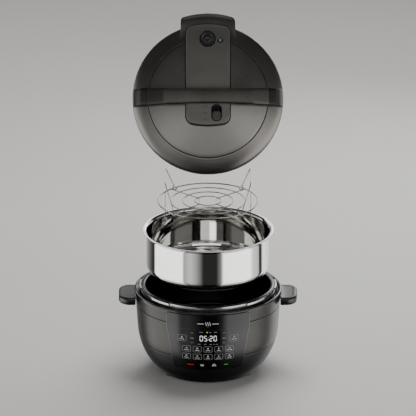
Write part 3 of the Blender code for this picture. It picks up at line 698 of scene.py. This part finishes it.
def stroke(points, width):
    # a flat ribbon along a path
    path = [Vector(p) for p in points]
    left, right = [], []
    for i, p in enumerate(path):
        run = path[min(i + 1, len(path) - 1)] - path[max(i - 1, 0)]
        side = Vector((-run.y, run.x)).normalized() * width / 2
        left.append(tuple(p + side))
        right.append(tuple(p - side))
    return left + right[::-1]


def wave(x, z, height, width, amount):
    return stroke([(x + amount * math.sin(2 * math.pi * t / 10), z + height * (t / 10 - 0.5))
                   for t in range(11)], width)


def bowl(x, z, w, h):
    return arc(x, z + h / 2, w / 2, 180, 360, 12)


pictograms = {  # small generic signs, in mm about the key's middle
    "steam": lambda x, z: [*[wave(x + i * 2.6, z + 0.6, 5.2, 0.7, 0.6) for i in (-1, 0, 1)],
                           bar(x, z - 3.4, 9, 0.8)],
    "bowl": lambda x, z: [bowl(x, z - 0.6, 9, 3.4), bar(x, z + 2.6, 6, 0.7)],
    "grains": lambda x, z: [roundedBox(x + dx, z + dz, 1.5, 3.0, 0.7, 3) for dx, dz in
                            ((-3.2, 1.2), (0, 1.6), (3.2, 1.2), (-1.6, -2.2), (1.6, -2.2))],
    "drop": lambda x, z: [arc(x, z - 1, 2.6, -220, 40, 12) + [(x, z + 4)]],
    "leaf": lambda x, z: [arc(x - 1.6, z, 4, -60, 60, 8) + arc(x + 1.6, z, 4, 120, 240, 8)],
    "pan": lambda x, z: [roundedBox(x - 1.2, z, 6.4, 3.6, 1.4, 4), bar(x + 4.4, z + 0.8, 3.6, 0.9)],
    "rings": lambda x, z: [arc(x, z, 3.6, 0, 350, 20), arc(x, z, 2.8, 0, 350, 20),
                           arc(x, z, 1.4, 0, 340, 14)],
    "jar": lambda x, z: [roundedBox(x, z - 0.8, 5.6, 5.6, 1.2, 4), bar(x, z + 3.2, 4.4, 0.9)],
    "flame": lambda x, z: [arc(x, z - 1, 2.4, 180, 360, 10)
                           + [(x + 2.0, z + 1), (x + 0.2, z + 4.4), (x - 0.8, z + 1.4)]],
    "clock": lambda x, z: [arc(x, z, 3.4, 0, 350, 20), arc(x, z, 2.7, 0, 350, 20),
                           bar(x + 0.8, z + 0.2, 1.9, 0.6)],
}
# plain bars in place of words, as (centre, length)
labelBars = (((-2.6, 5.0), (3.2, 4.4)), ((0, 9.6),), ((-2.8, 4.2), (2.6, 5.2)), ((0, 8.0),))
programSigns = ("grains", "bowl", "leaf", "drop", "steam", "pan", "rings", "jar", "flame", "bowl")


def segments(digit, x, z, width=7.0, height=13.4, thick=1.15):
    # seven-segment figure, centred on (x, z)
    w, h, g = width / 2 - thick / 2, height / 2 - thick / 2, 0.35
    t = thick / 2

    def flat(cz):
        return [(x - w + g, cz), (x - w + g + t, cz + t), (x + w - g - t, cz + t), (x + w - g, cz),
                (x + w - g - t, cz - t), (x - w + g + t, cz - t)]

    def upright(cx, low, high):
        return [(cx, low + g), (cx + t, low + g + t), (cx + t, high - g - t), (cx, high - g),
                (cx - t, high - g - t), (cx - t, low + g + t)]
    shapes = {"a": flat(z + h), "g": flat(z), "d": flat(z - h), "f": upright(x - w, z, z + h),
              "b": upright(x + w, z, z + h), "e": upright(x - w, z - h, z), "c": upright(x + w, z - h, z)}
    lit = {"0": "abcdef", "2": "abged", "5": "afgcd"}[digit]
    return [shapes[s] for s in lit]


def ink(name, outlines, material, lift):
    # printed marks, a hair proud of what they are printed on
    return wrapped(name, outlines, lift + panel["ink"], lift - 0.05, material)


def shrunk(outlines, x, z, share, rise):
    # a pictogram drawn smaller, and higher on its key
    return [[(x + (a - x) * share, z + rise + (b - z) * share) for a, b in outline] for outline in outlines]


def makePanel():
    top, foot, bend = panel["top"], panel["foot"], panel["bend"]
    edge = [(-panel["halfFoot"], foot), (panel["halfFoot"], foot), (panel["halfTop"], bend),
            (panel["halfTop"], top), (-panel["halfTop"], top), (-panel["halfTop"], bend)]
    border = [tuple(p.xy) for p in softened(edge, 7, 5)]
    holes = [roundedBox(x, z, w + 0.6, h + 0.6, 2.9, 4) for x, z, w, h in
             [window, *keyBoxes.values(), *rockers.values()]]
    fascia = wrapped("fasciaPanel", [border] + holes, panel["face"], panel["back"], "panelFilm")
    seat(fascia, "base", "gloss_black", "fascia")
    # a painted highlight: strips of dark mirror metal laid down both chamfered sides to give bright lines
    for side in (-1, 1):                                       # bright chamfers down both sides
        line = [(side * (panel["halfTop"] - 0.2), top - 6), (side * (panel["halfTop"] - 0.2), bend),
                (side * (panel["halfFoot"] + 0.6), foot + 7)]
        strip = wrapped(f"panelEdge_{'left' if side < 0 else 'right'}", [stroke(
            [tuple(p.xy) for p in softened(line, 14, 6, closed=False)], 1.5)], 3.4, 1.0, "chamferHighlightMetal")
        seat(strip, "base", "dark_metallic")
    seam = wrapped("panelSeam", [bar(0, panel["seam"], 2 * panel["halfTop"] - 6, 0.7)], 3.06, 2.7,
                   "brushedLacquer")
    seat(seam, "base", "dark_metallic")
    emblem = [wave(x, 168.5, 9.0, 1.3, 1.0) for x in (-4.6, 0, 4.6)]
    emblem += [bar(x, 168.3, 15, 1.5) for x in (-17, 17)]
    seat(ink("steamEmblem", emblem, "whiteInk", 3.0), "base", "key_film")
    seat(ink("steamEmblemDot", [roundedBox(0, 161.0, 2.0, 2.0, 0.9, 4)], "redInk", 3.0), "base", "key_film")

    lens = wrapped("displayLens", [roundedBox(*window, 2.5, 4)], 2.8, 1.2, "smokedAcrylic")
    seat(lens, "base", "lens", "display_lens")
    digits = []
    for digit, x in zip("0520", (-15.2, -5.6, 6.6, 16.2)):
        digits += segments(digit, x, 132)
    digits += [roundedBox(0.5, 134.8, 1.3, 1.3, 0.6, 4), roundedBox(0.5, 129.2, 1.3, 1.3, 0.6, 4)]
    seat(wrapped("timeDigits", digits, 2.9, 2.5, "whiteSegment"), "base", "lens")
    pills = [bar(-15.5, 147.4, 9.0, 1.1), bar(4.6, 147.4, 5.2, 1.1), bar(17.5, 147.4, 7.6, 1.1)]
    lower = ((-20, 7.0), (-6.6, 5.4), (6.2, 4.4), (13.4, 3.2), (19.8, 5.0))
    pills += [bar(x, 117.7, w, 1.2) for x, w in lower]
    seat(wrapped("statusMarks", pills, 2.88, 2.6, "greyInk"), "base", "lens")
    seat(wrapped("statusLamp", [roundedBox(-2.0, 147.4, 2.4, 1.9, 0.8, 4)], 2.92, 2.6, "yellowSegment"),
         "base", "lens")


def makeKeys():
    for name, box in keyBoxes.items():
        x, z, w, h = box
        pad = wrapped(f"{name}_pad", [roundedBox(x, z, w, h, 2.6, 4)], 3.2, 1.5, "panelFilm")
        seat(pad, name, "key_film", name)
        framed = name.startswith("key_program") or name in ("key_pressure", "key_delay")
        if framed:
            seat(ink(f"{name}_outline", frameLine(box, 0.62), "greyInk", 3.2), name, "key_film")
        colour = "whiteInk"
        if framed:                                             # a small sign over a plain label line
            number = int(name[-2:]) - 1 if name[-1].isdigit() else 0
            sign = {"key_pressure": "jar", "key_delay": "clock"}.get(name) or programSigns[number]
            marks = shrunk(pictograms[sign](x, z), x, z, 0.55, 2.0)
            marks += [bar(x + dx, z - 3.2, length, 1.2) for dx, length in labelBars[number % len(labelBars)]]
        elif name == "key_cancel":
            marks, colour = [bar(x, z, 14, 1.7)], "redInk"
        elif name == "key_start":
            marks, colour = [bar(x, z, 9, 1.7)], "greenInk"
        elif name == "key_vent":
            marks = [bar(x, z + 0.4, 8.6, 1.5), bar(x, z - 2.4, 9.6, 1.5), bar(x, z + 4.2, 1.0, 2.2)]
        else:
            marks = [bar(x, z + 0.4, 8.6, 1.5), bar(x, z - 2.4, 8.0, 1.5)]
        seat(ink(f"{name}_sign", marks, colour, 3.2), name, "key_film")
    for name, box in rockers.items():
        x, z, w, h = box
        bodyName = "up_down_left" if x < 0 else "up_down_right"
        pad = wrapped(f"{name}_pad", [roundedBox(x, z, w, h, 2.6, 4)], 3.2, 1.5, "panelFilm")
        seat(pad, bodyName, "key_film", name)
        marks = [stroke([(x - 2.7, z + 11.3), (x, z + 13.1), (x + 2.7, z + 11.3)], 0.8),
                 stroke([(x - 2.7, z - 11.3), (x, z - 13.1), (x + 2.7, z - 11.3)], 0.8),
                 bar(x, z - 1, 8.6, 1.5)]
        seat(ink(f"{name}_sign", marks, "greyInk", 3.2), bodyName, "key_film")


makePanel()
makeKeys()
print("control panel ready")


pot = {"outer": 139.5, "wall": 1.5, "floor": 98.7, "floorThick": 1.4, "bend": 27, "rim": 148.6,
       "rimTop": 205.2, "bead": 0.9}


def makePot():
    r, wall, floor = pot["outer"], pot["wall"], pot["floor"]

    def cornerCurve(radius, bottom, bend):
        # quarter round from the wall down to the floor
        return [(radius - bend + bend * math.cos(a), bottom + bend - bend * math.sin(a))
                for a in [math.pi / 2 * i / 10 for i in range(11)]]
    curl = pot["bead"]
    bead = [(pot["rim"] + curl * (math.cos(a) - 1), pot["rimTop"] + curl * (math.sin(a) - 1))
            for a in [math.pi / 2 - math.pi * i / 8 for i in range(9)]]
    inside, bend = floor + pot["floorThick"], pot["bend"]
    profile = [(0, inside)] + cornerCurve(r - wall, inside, bend - pot["floorThick"])[::-1]
    profile += [(r - wall, 196.4), (138.7, 200.6), (140.6, 203.6), (143.4, pot["rimTop"])] + bead
    profile += [(143, 203.4), (141.4, 202.6), (140.2, 200.4), (r, 196)]
    profile += cornerCurve(r, floor, bend) + [(0, floor)]
    made = turned("innerPot", profile, potPlace, "mirrorSteel", steps=192, radius=0.5, count=2, angle=60)
    seat(made, "pot", "polished_steel", "inner_pot")


makePot()
print("pot ready")


rack = {"rings": (113.0, 84.5, 57.0, 29.5), "wire": 3.0, "thin": 2.5, "eyeX": 75.0, "eyeY": 84.5, "eye": 5.0,
        "bailX": 96.5, "bailY": 55.0, "bailHeight": 60.0, "legX": 97.0, "legY": 50.0, "legDepth": 34.0}


def makeRack():
    for i, r in enumerate(rack["rings"]):
        points = [(r * math.cos(a), r * math.sin(a), 0) for a in [2 * math.pi * k / 96 for k in range(96)]]
        ring = wire(f"rackRing_{i}", points, rack["wire"] if i == 0 else rack["thin"], rackPlace,
                    "polishedWire", closed=True)
        seat(ring, "rack", "rack_wire", *(["rack_grid"] if i == 0 else []))
    below = -1.9
    depth = -rack["legDepth"] + rack["thin"] / 2
    legEnd = math.sqrt(rack["rings"][0] ** 2 - rack["legX"] ** 2)
    for side, hand in ((-1, "left"), (1, "right")):
        path = softened([(side * 82, 77.7, below), (side * 19, 19, below), (side * 19, -18, below),
                         (side * 82, -77.7, below)], 6, 6, closed=False)
        seat(wire(f"rackBrace_{hand}", path, rack["thin"], rackPlace, "polishedWire"), "rack", "rack_wire")
        path = softened([(side * rack["legX"], -legEnd, 0.4), (side * rack["legX"], -rack["legY"], depth + 2),
                         (side * rack["legX"], -rack["legY"] + 3, depth),
                         (side * rack["legX"], rack["legY"] - 3, depth),
                         (side * rack["legX"], rack["legY"], depth + 2), (side * rack["legX"], legEnd, 0.4)],
                        5, 5, closed=False)
        seat(wire(f"rackLeg_{hand}", path, rack["thin"], rackPlace, "polishedWire"), "rack", "rack_wire")
        lean = side * (rack["bailX"] - rack["eyeX"])
        eyeX = side * rack["eyeX"]
        rise = rack["eye"]
        path = []
        for end in (-1, 1):                                    # the wire's end winds round into its own eye
            turns = [2 * math.pi * k / 20 for k in range(17)]
            eye = [(eyeX + side * rise * math.sin(a), end * rack["eyeY"], rise * math.cos(a)) for a in turns]
            leg = [(eyeX + lean * 0.08, end * rack["eyeY"], rise)]
            path.append(eye[::-1] + leg)
        bailPath = softened([(eyeX + lean * 0.1, -rack["eyeY"], rise),
                             (eyeX + lean, -rack["bailY"], rack["bailHeight"]),
                             (eyeX + lean, rack["bailY"], rack["bailHeight"]),
                             (eyeX + lean * 0.1, rack["eyeY"], rise)],
                            13, 8, closed=False)
        whole = path[0][:-1] + [tuple(p) for p in bailPath] + path[1][:-1][::-1]
        bail = wire(f"rackHandle_{hand}", whole, rack["thin"], rackPlace, "polishedWire")
        seat(bail, f"rack_{hand}", "rack_wire", f"rack_handle_{hand}")


makeRack()
print("rack ready")


lid = {"radius": 169.5, "seam": 134.8, "seamHeight": 34.0, "dome": 48.0, "spineHalf": 49.0,
       "spineFront": -63.0, "spineBack": 166.0, "tabHalf": 61.5, "tabReach": 193.6, "valve": (-1.0, 132.0),
       "float": (27.5, 129.0), "slider": (19.2, -35.0), "strapEnd": 19.8, "strapMiddle": 16.6,
       "strapJoint": 137.0}


def domeHeight(r):
    # part of a sphere that stands this much above its edge
    rise = lid["dome"] - lid["seamHeight"]
    sphere = (lid["seam"] ** 2 + rise ** 2) / (2 * rise)
    return lid["dome"] - sphere + math.sqrt(sphere ** 2 - r ** 2)


def lidSurface(r):
    # height of the lid's outer surface
    if r <= lid["seam"]:
        return domeHeight(r)
    return between([(lid["seam"], lid["seamHeight"]), (150, 29.4), (158, 26.0), (164, 22.6), (167, 19.8),
                    (169, 16.0), (lid["radius"], 12.0)], r)


def spineTop(r):
    knots = [(0, 58.0), (60, 57.0), (100, 54.5), (132, 51.0), (150, 47.5), (165, 42.5), (178, 37.0)]
    return between(knots, r)


def makeLidShells():
    gap = 0.9
    radii = [i * (lid["seam"] - gap) / 16 for i in range(17)]
    dome = [(r, domeHeight(r)) for r in radii]
    top = turned("lidDome", dome + [(r, h - 1.8) for r, h in reversed(dome)], lidPlace, "spunLacquer",
                 steps=192, radius=0.7, count=3)
    radii = [lid["seam"] + gap, 140, 146, 152, 158, 162, 165, 167]
    crown = [(r, lidSurface(r)) for r in radii] + [(168.6, 17.6), (169.5, 14.5), (169.5, 3.4)]
    inside = [(167.1, 3.4), (167.1, 15.2), (165.3, 19.0), (157, 23.4), (lid["seam"] + gap, 31.5)]
    rim = turned("lidOuterRing", crown + inside, lidPlace, "ringLacquer", steps=192, radius=0.8, count=2)
    trim = turned("lidEdgeTrim", [(169.5, 3.2), (169.5, 0.5), (169.0, 0), (167.2, 0), (167.2, 3.2)], lidPlace,
                  "mirrorSteel", steps=192, radius=0.4)
    out, back = lid["seam"] + 1.6, lid["seam"] - 1.6
    gasket = turned("lidSeamGasket", [(out, 32.2), (out, 31.0), (back, 31.0), (back, 32.2)], lidPlace,
                    "rubberAndGrooveShade", steps=192, radius=0.2)
    well = roundedBox(13, 132, 46, 22, 4)
    for made in (top, rim, gasket):
        carve(made, "DIFFERENCE", prism("well", well, 20, 60, lidPlace))
    seat(top, "lid", "dark_metallic", "lid_top")
    seat(rim, "lid", "dark_metallic", "lid_rim")
    seat(trim, "lid", "polished_steel")
    seat(gasket, "lid", "foot_rubber")


def spineOutline(inset):
    # long panel with bowed ends and rounded corners, drawn in by inset
    half = lid["spineHalf"] - inset
    line = []
    for end, way, r in ((lid["spineBack"] - inset, 1, 11 - inset),
                        (lid["spineFront"] + inset, -1, 14 - inset)):
        r = max(r, 1.0)
        xs = [half - r + r * math.sin(math.radians(a)) for a in (90, 78, 66, 54, 42, 30, 18, 8)]
        xs += [(half - r) * k / 6 for k in range(6, -7, -1)]
        xs += [-x for x in xs[7::-1]]
        row = []
        for x in xs:
            past = max(abs(x) - (half - r), 0)
            bowed = 6.5 * (x / half) ** 2 + r - math.sqrt(max(r * r - past * past, 0))
            row.append((x * way, end - way * bowed))
        start = row[0][1]
        if line:
            line += [(line[-1][0], line[-1][1] + (start - line[-1][1]) * k / 24) for k in range(1, 24)]
        line += row
    return line + [(line[-1][0], line[-1][1] + (line[0][1] - line[-1][1]) * k / 24) for k in range(1, 24)]


def tabSurface(r):
    # the tab carries the outer ring's slope on outwards
    return between([(148, 30.4), (158, 28.8), (170, 28.0), (180, 27.0), (187, 25.2), (191, 22.0),
                    (193.4, 16.0)], r)


def under(x, y):
    # what the spine stands on: the lid, or the tab behind it
    r = math.hypot(x, y)
    return tabSurface(r) if y > 148 else lidSurface(r)


def makeSpine():
    edge = 2.2
    loops = [[(x, y, under(x, y) + 0.2) for x, y in spineOutline(0)]]
    for i in range(7):                                         # rounded shoulder
        turn = math.pi / 2 * i / 6
        inset, drop = edge * (1 - math.cos(turn)), edge * (1 - math.sin(turn))
        loops.append([(x, y, spineTop(math.hypot(x, y)) - drop) for x, y in spineOutline(inset)])
    for inset in (8, 14, 20, 27, 34, 41):
        loops.append([(x, y, spineTop(math.hypot(x, y))) for x, y in spineOutline(inset)])
    spine = lofted("lidSpine", loops, lidPlace, "satinLacquer", mirror=28, angle=50)
    vx, vy = lid["valve"]
    fx, fy = lid["float"]
    sx, sy = lid["slider"]
    cutters = [prism("valveRecess", arc(vx, vy, 18.3, 0, 352.5, 47), 40, 80, lidPlace),
               prism("floatHole", arc(fx, fy, 6.4, 0, 345, 23), 38, 80, lidPlace),
               prism("sliderRecess", roundedBox(sx, sy, 24, 39.5, 11.9, 12), 48.6, 80, lidPlace)]
    carve(spine, "DIFFERENCE", *cutters, angle=40)
    seat(spine, "lid", "dark_metallic", "lid_spine")
    for name, outline, depth in (("valveWell", arc(vx, vy, 18.2, 0, 352.5, 47), 40.6),
                                 ("sliderWell", roundedBox(sx, sy, 23.8, 39.3, 11.8, 12), 51.1)):
        floor = prism(name, outline, depth - 0.8, depth, lidPlace, "polishedAbs")
        if name == "valveWell":
            carve(floor, "DIFFERENCE", prism("stemHole", arc(vx, vy, 4.6, 0, 345, 23), 20, 60, lidPlace))
        else:
            carve(floor, "DIFFERENCE", prism("tongueSlot", roundedBox(sx, sy, 9.4, 60, 2), 20, 60, lidPlace))
        seat(floor, "lid", "black_plastic")
    # a painted shade: a black tube along the spine's edge stands in for the shadow in the groove round it
    groove = wire("spineGrooveShade", [(x, y, under(x, y) + 0.3) for x, y in spineOutline(-0.9)], 3.0, lidPlace,
                  "rubberAndGrooveShade", closed=True)
    seat(groove, "lid", "foot_rubber")
    lining = turned("valveLining", [(18.25, 50.9), (18.25, 40.7), (17.1, 40.7), (17.1, 50.2)], lidPlace,
                    "polishedAbs", steps=72, at=(vx, vy), radius=0.3)
    seat(lining, "lid", "black_plastic")
    eyelet = turned("floatEyelet", [(6.35, 51.6), (6.35, 40), (4.5, 40), (4.5, 51.0)], lidPlace,
                    "polishedAbs", steps=40, at=(fx, fy), radius=0.3)
    seat(eyelet, "lid", "black_plastic")
    sleeve = prism("sliderLining", roundedBox(sx, sy, 23.9, 39.4, 11.8, 12), 51.1, 57.9, lidPlace,
                   "polishedAbs")
    hole = prism("sleeveHole", roundedBox(sx, sy, 21.4, 36.9, 10.6, 12), 50, 70, lidPlace)
    carve(sleeve, "DIFFERENCE", hole)
    seat(sleeve, "lid", "black_plastic")
    for i, y in enumerate((-22, -37, -52)):                    # three raised steam marks beside the slider
        curl = arc(-5.5, y - 2.5, 4.6, 20, 160, 10) + arc(-5.5, y - 3.3, 4.6, 160, 20, 10)
        mark = prism(f"steamMark_{i}", curl, 57.4, 58.3, lidPlace, "capShadeAndMarkPaint")
        seat(mark, "lid", "dark_metallic")


def makeTab():
    half, reach = lid["tabHalf"], lid["tabReach"]
    radii = [149, 154, 160, 166, 171, 176, 181, 185, 188, 190.5, 192.2, 193.2]
    skin = [(r, tabSurface(r)) for r in radii] + [(reach, 12.0), (reach, 1.6)]
    inside = [(191.4, 1.4), (191.2, 13.5), (187.5, 19.6), (180, 23.6), (172, 24.6), (170.6, 24.0)]
    over = [(r, lidSurface(r) + 0.5) for r in (168.4, 164, 158, 152, 149)]
    loops = []
    for i in range(33):
        x = half * math.sin(math.radians(-90 + 180 * i / 32))
        drop = max(abs(x) - (half - 6), 0)
        corner = 6 - math.sqrt(max(36 - drop * drop, 0))       # rounds the tab's outer corners
        loop = []
        for r, h in skin + inside + over:
            away = r - corner * max(0, min(1, (r - 176) / 12))
            loop.append((x, math.sqrt(away * away - x * x), h - 0.12 * corner))
        loops.append(loop)
    tab = lofted("lidTab", loops, lidPlace, "ringLacquer", angle=55)
    seat(tab, "lid", "dark_metallic")


def strapTop(x):
    return between([(0, 89.8), (50, 88.0), (100, 81.5), (137, 71.0), (152, 62.0), (161, 50.0), (166, 37.0),
                    (168.4, 24.0)], abs(x))


def strapUnder(x):
    knots = [(0, 80.0), (50, 78.5), (80, 74.5), (92, 67.5), (99, 56), (105, 42.4)]
    return between(knots, abs(x)) if abs(x) <= knots[-1][0] else lidSurface(abs(x)) + 0.5


def makeStrap():
    ends = lid["strapJoint"]                                   # where the strap meets its two feet

    def bridge(name, start, stop, count, material):
        loops = []
        for i in range(count + 1):
            x = start + (stop - start) * i / count
            half = lid["strapMiddle"] + (lid["strapEnd"] - lid["strapMiddle"]) * min(1, abs(x) / ends) ** 2
            if abs(x) > ends:                                  # the feet follow the lid's round edge
                half = min(half, math.sqrt(max(169.2 ** 2 - x * x, 9)))
            up, low = strapTop(x), strapUnder(x)
            top = [(half, up - 4.2), (half - 0.8, up - 1.9), (half - 2.6, up - 0.7), (half * 0.6, up - 0.15)]
            foot = [(half * 0.5, low), (half - 2.2, low), (half - 0.2, low + 1.6), (half, low + 3.2)]
            section = foot[2:] + top + [(0, up)] + [(-y, h) for y, h in (foot + top)[::-1]] + foot[:2]
            loops.append([(x, y, h) for y, h in section])
        return lofted(name, loops, lidPlace, material, angle=50)
    strap = bridge("lidStrap", 0.4 - ends, ends - 0.4, 68, "brushedLacquer")
    seat(strap, "lid", "strap_grey", "lid_handle")
    for side, hand in ((-1, "left"), (1, "right")):
        # the feet carry a painted shade: lacquer made darker where the strap's ends turn away from the light
        cap = bridge(f"strapFoot_{hand}", side * (ends + 0.4), side * 167.6, 16, "capShadeAndMarkPaint")
        seat(cap, "lid", "strap_grey")


def makeInnerLid():
    plate = [(0, 9.8), (136.7, 9.8), (139, 12.3), (139, 22.3), (157, 22.3), (159.2, 19.8), (159.2, -2),
             (157.9, -2), (157.9, 19.2), (156.5, 21), (140.3, 21), (140.3, 11.7), (137.3, 8.5)]
    for r in (120, 90, 60):                                    # pressed stiffening rings
        plate += [(r + 3, 8.5), (r, 9.0), (r - 3, 8.5)]
    inner = turned("innerLid", plate + [(0, 8.5)], lidPlace, "stampedSteel", steps=160, radius=1.2, count=3)
    hooks = [prism(f"hook{i}", sectorOutline(153.5, 158.6, i * 45, 18), -1, 2, lidPlace) for i in range(8)]
    carve(inner, "UNION", *hooks)
    vx, vy = lid["valve"]
    fx, fy = lid["float"]
    carve(inner, "DIFFERENCE", prism("stemHole", arc(vx, vy, 4.2, 0, 345, 23), 0, 20, lidPlace),
          prism("pinHole", arc(fx, fy, 3.0, 0, 345, 23), 0, 20, lidPlace))
    seat(inner, "lid", "steel", "inner_lid")
    seal = turned("sealingRing", [(152.5, 19.5), (152.5, 13), (150.5, 11.6), (146, 12.6), (143.5, 11.6),
                                  (141.8, 13), (141.8, 19.5), (147, 18.6)], lidPlace, "mouldedSilicone",
                  steps=160, radius=1.4)
    seat(seal, "seal", "silicone", "sealing_ring")
    bell = [(0, -1.8), (13.6, -1.8), (13.6, 8.1), (15, 8.1), (15, -2), (14, -3), (0, -3)]
    shield = turned("ventShield", bell, lidPlace, "stampedSteel", steps=64, at=(vx, 122), radius=0.8)
    slots = [prism("slit", roundedBox(vx + dx, 122, 2.2, 14, 1.0), -6, 0, lidPlace) for dx in (-6, 0, 6)]
    carve(shield, "DIFFERENCE", *slots)
    seat(shield, "lid", "steel", "vent_shield")


def makeValves():
    vx, vy = lid["valve"]
    button = [(0, 50.4), (3.4, 50.4), (4.4, 52.2), (6.0, 52.2), (7.4, 50.0), (11.5, 49.8), (13.0, 52.6),
              (14.6, 52.8), (15.5, 51.4), (15.5, 46.5), (4, 46.5), (4, 30), (2.4, 28), (2.4, 2), (0, 2)]
    seat(turned("releaseButton", button, lidPlace, "satinAbs", steps=72, at=(vx, vy), radius=0.7), "release",
         "black_plastic", "release_button")
    fx, fy = lid["float"]
    pin = [(0, 45.4), (1.6, 45.2), (3.0, 44.4), (3.8, 42.8), (3.8, 40), (2.2, 40), (2.2, 4), (0, 4)]
    seat(turned("floatPin", pin, lidPlace, "machinedAluminium", steps=40, at=(fx, fy), radius=0.5), "float",
         "aluminium", "float_valve")
    cap = turned("floatCap", [(0, 48.2), (1.8, 48.0), (3.0, 47.2), (3.7, 45.6), (3.7, 43.6), (0, 43.6)],
                 lidPlace, "mouldedSilicone", steps=40, at=(fx, fy), radius=0.4)
    seat(cap, "float", "silicone")
    sx, sy = lid["slider"]
    knob = prism("sliderKnob", roundedBox(sx, sy - 7.3, 19.5, 21, 6, 8), 51.4, 57.0, lidPlace, "knobGrey",
                 soft=1.0)
    settle(knob)
    ridges = [prism("ridge", roundedBox(sx, sy - 7.3 + 3.4 * i, 14.5, 1.5, 0.7, 3), 56, 58.6, lidPlace)
              for i in range(-2, 3)]
    carve(knob, "UNION", *ridges)
    seat(knob, "slider", "black_plastic", "vent_slider")
    tongue = prism("sliderTongue", roundedBox(sx, 20, 8, 116, 1, 2), 49.6, 51.3, lidPlace, "polishedAbs")
    seat(tongue, "slider", "black_plastic")


makeLidShells()
makeSpine()
makeTab()
makeStrap()
makeInnerLid()
makeValves()
print("lid ready")
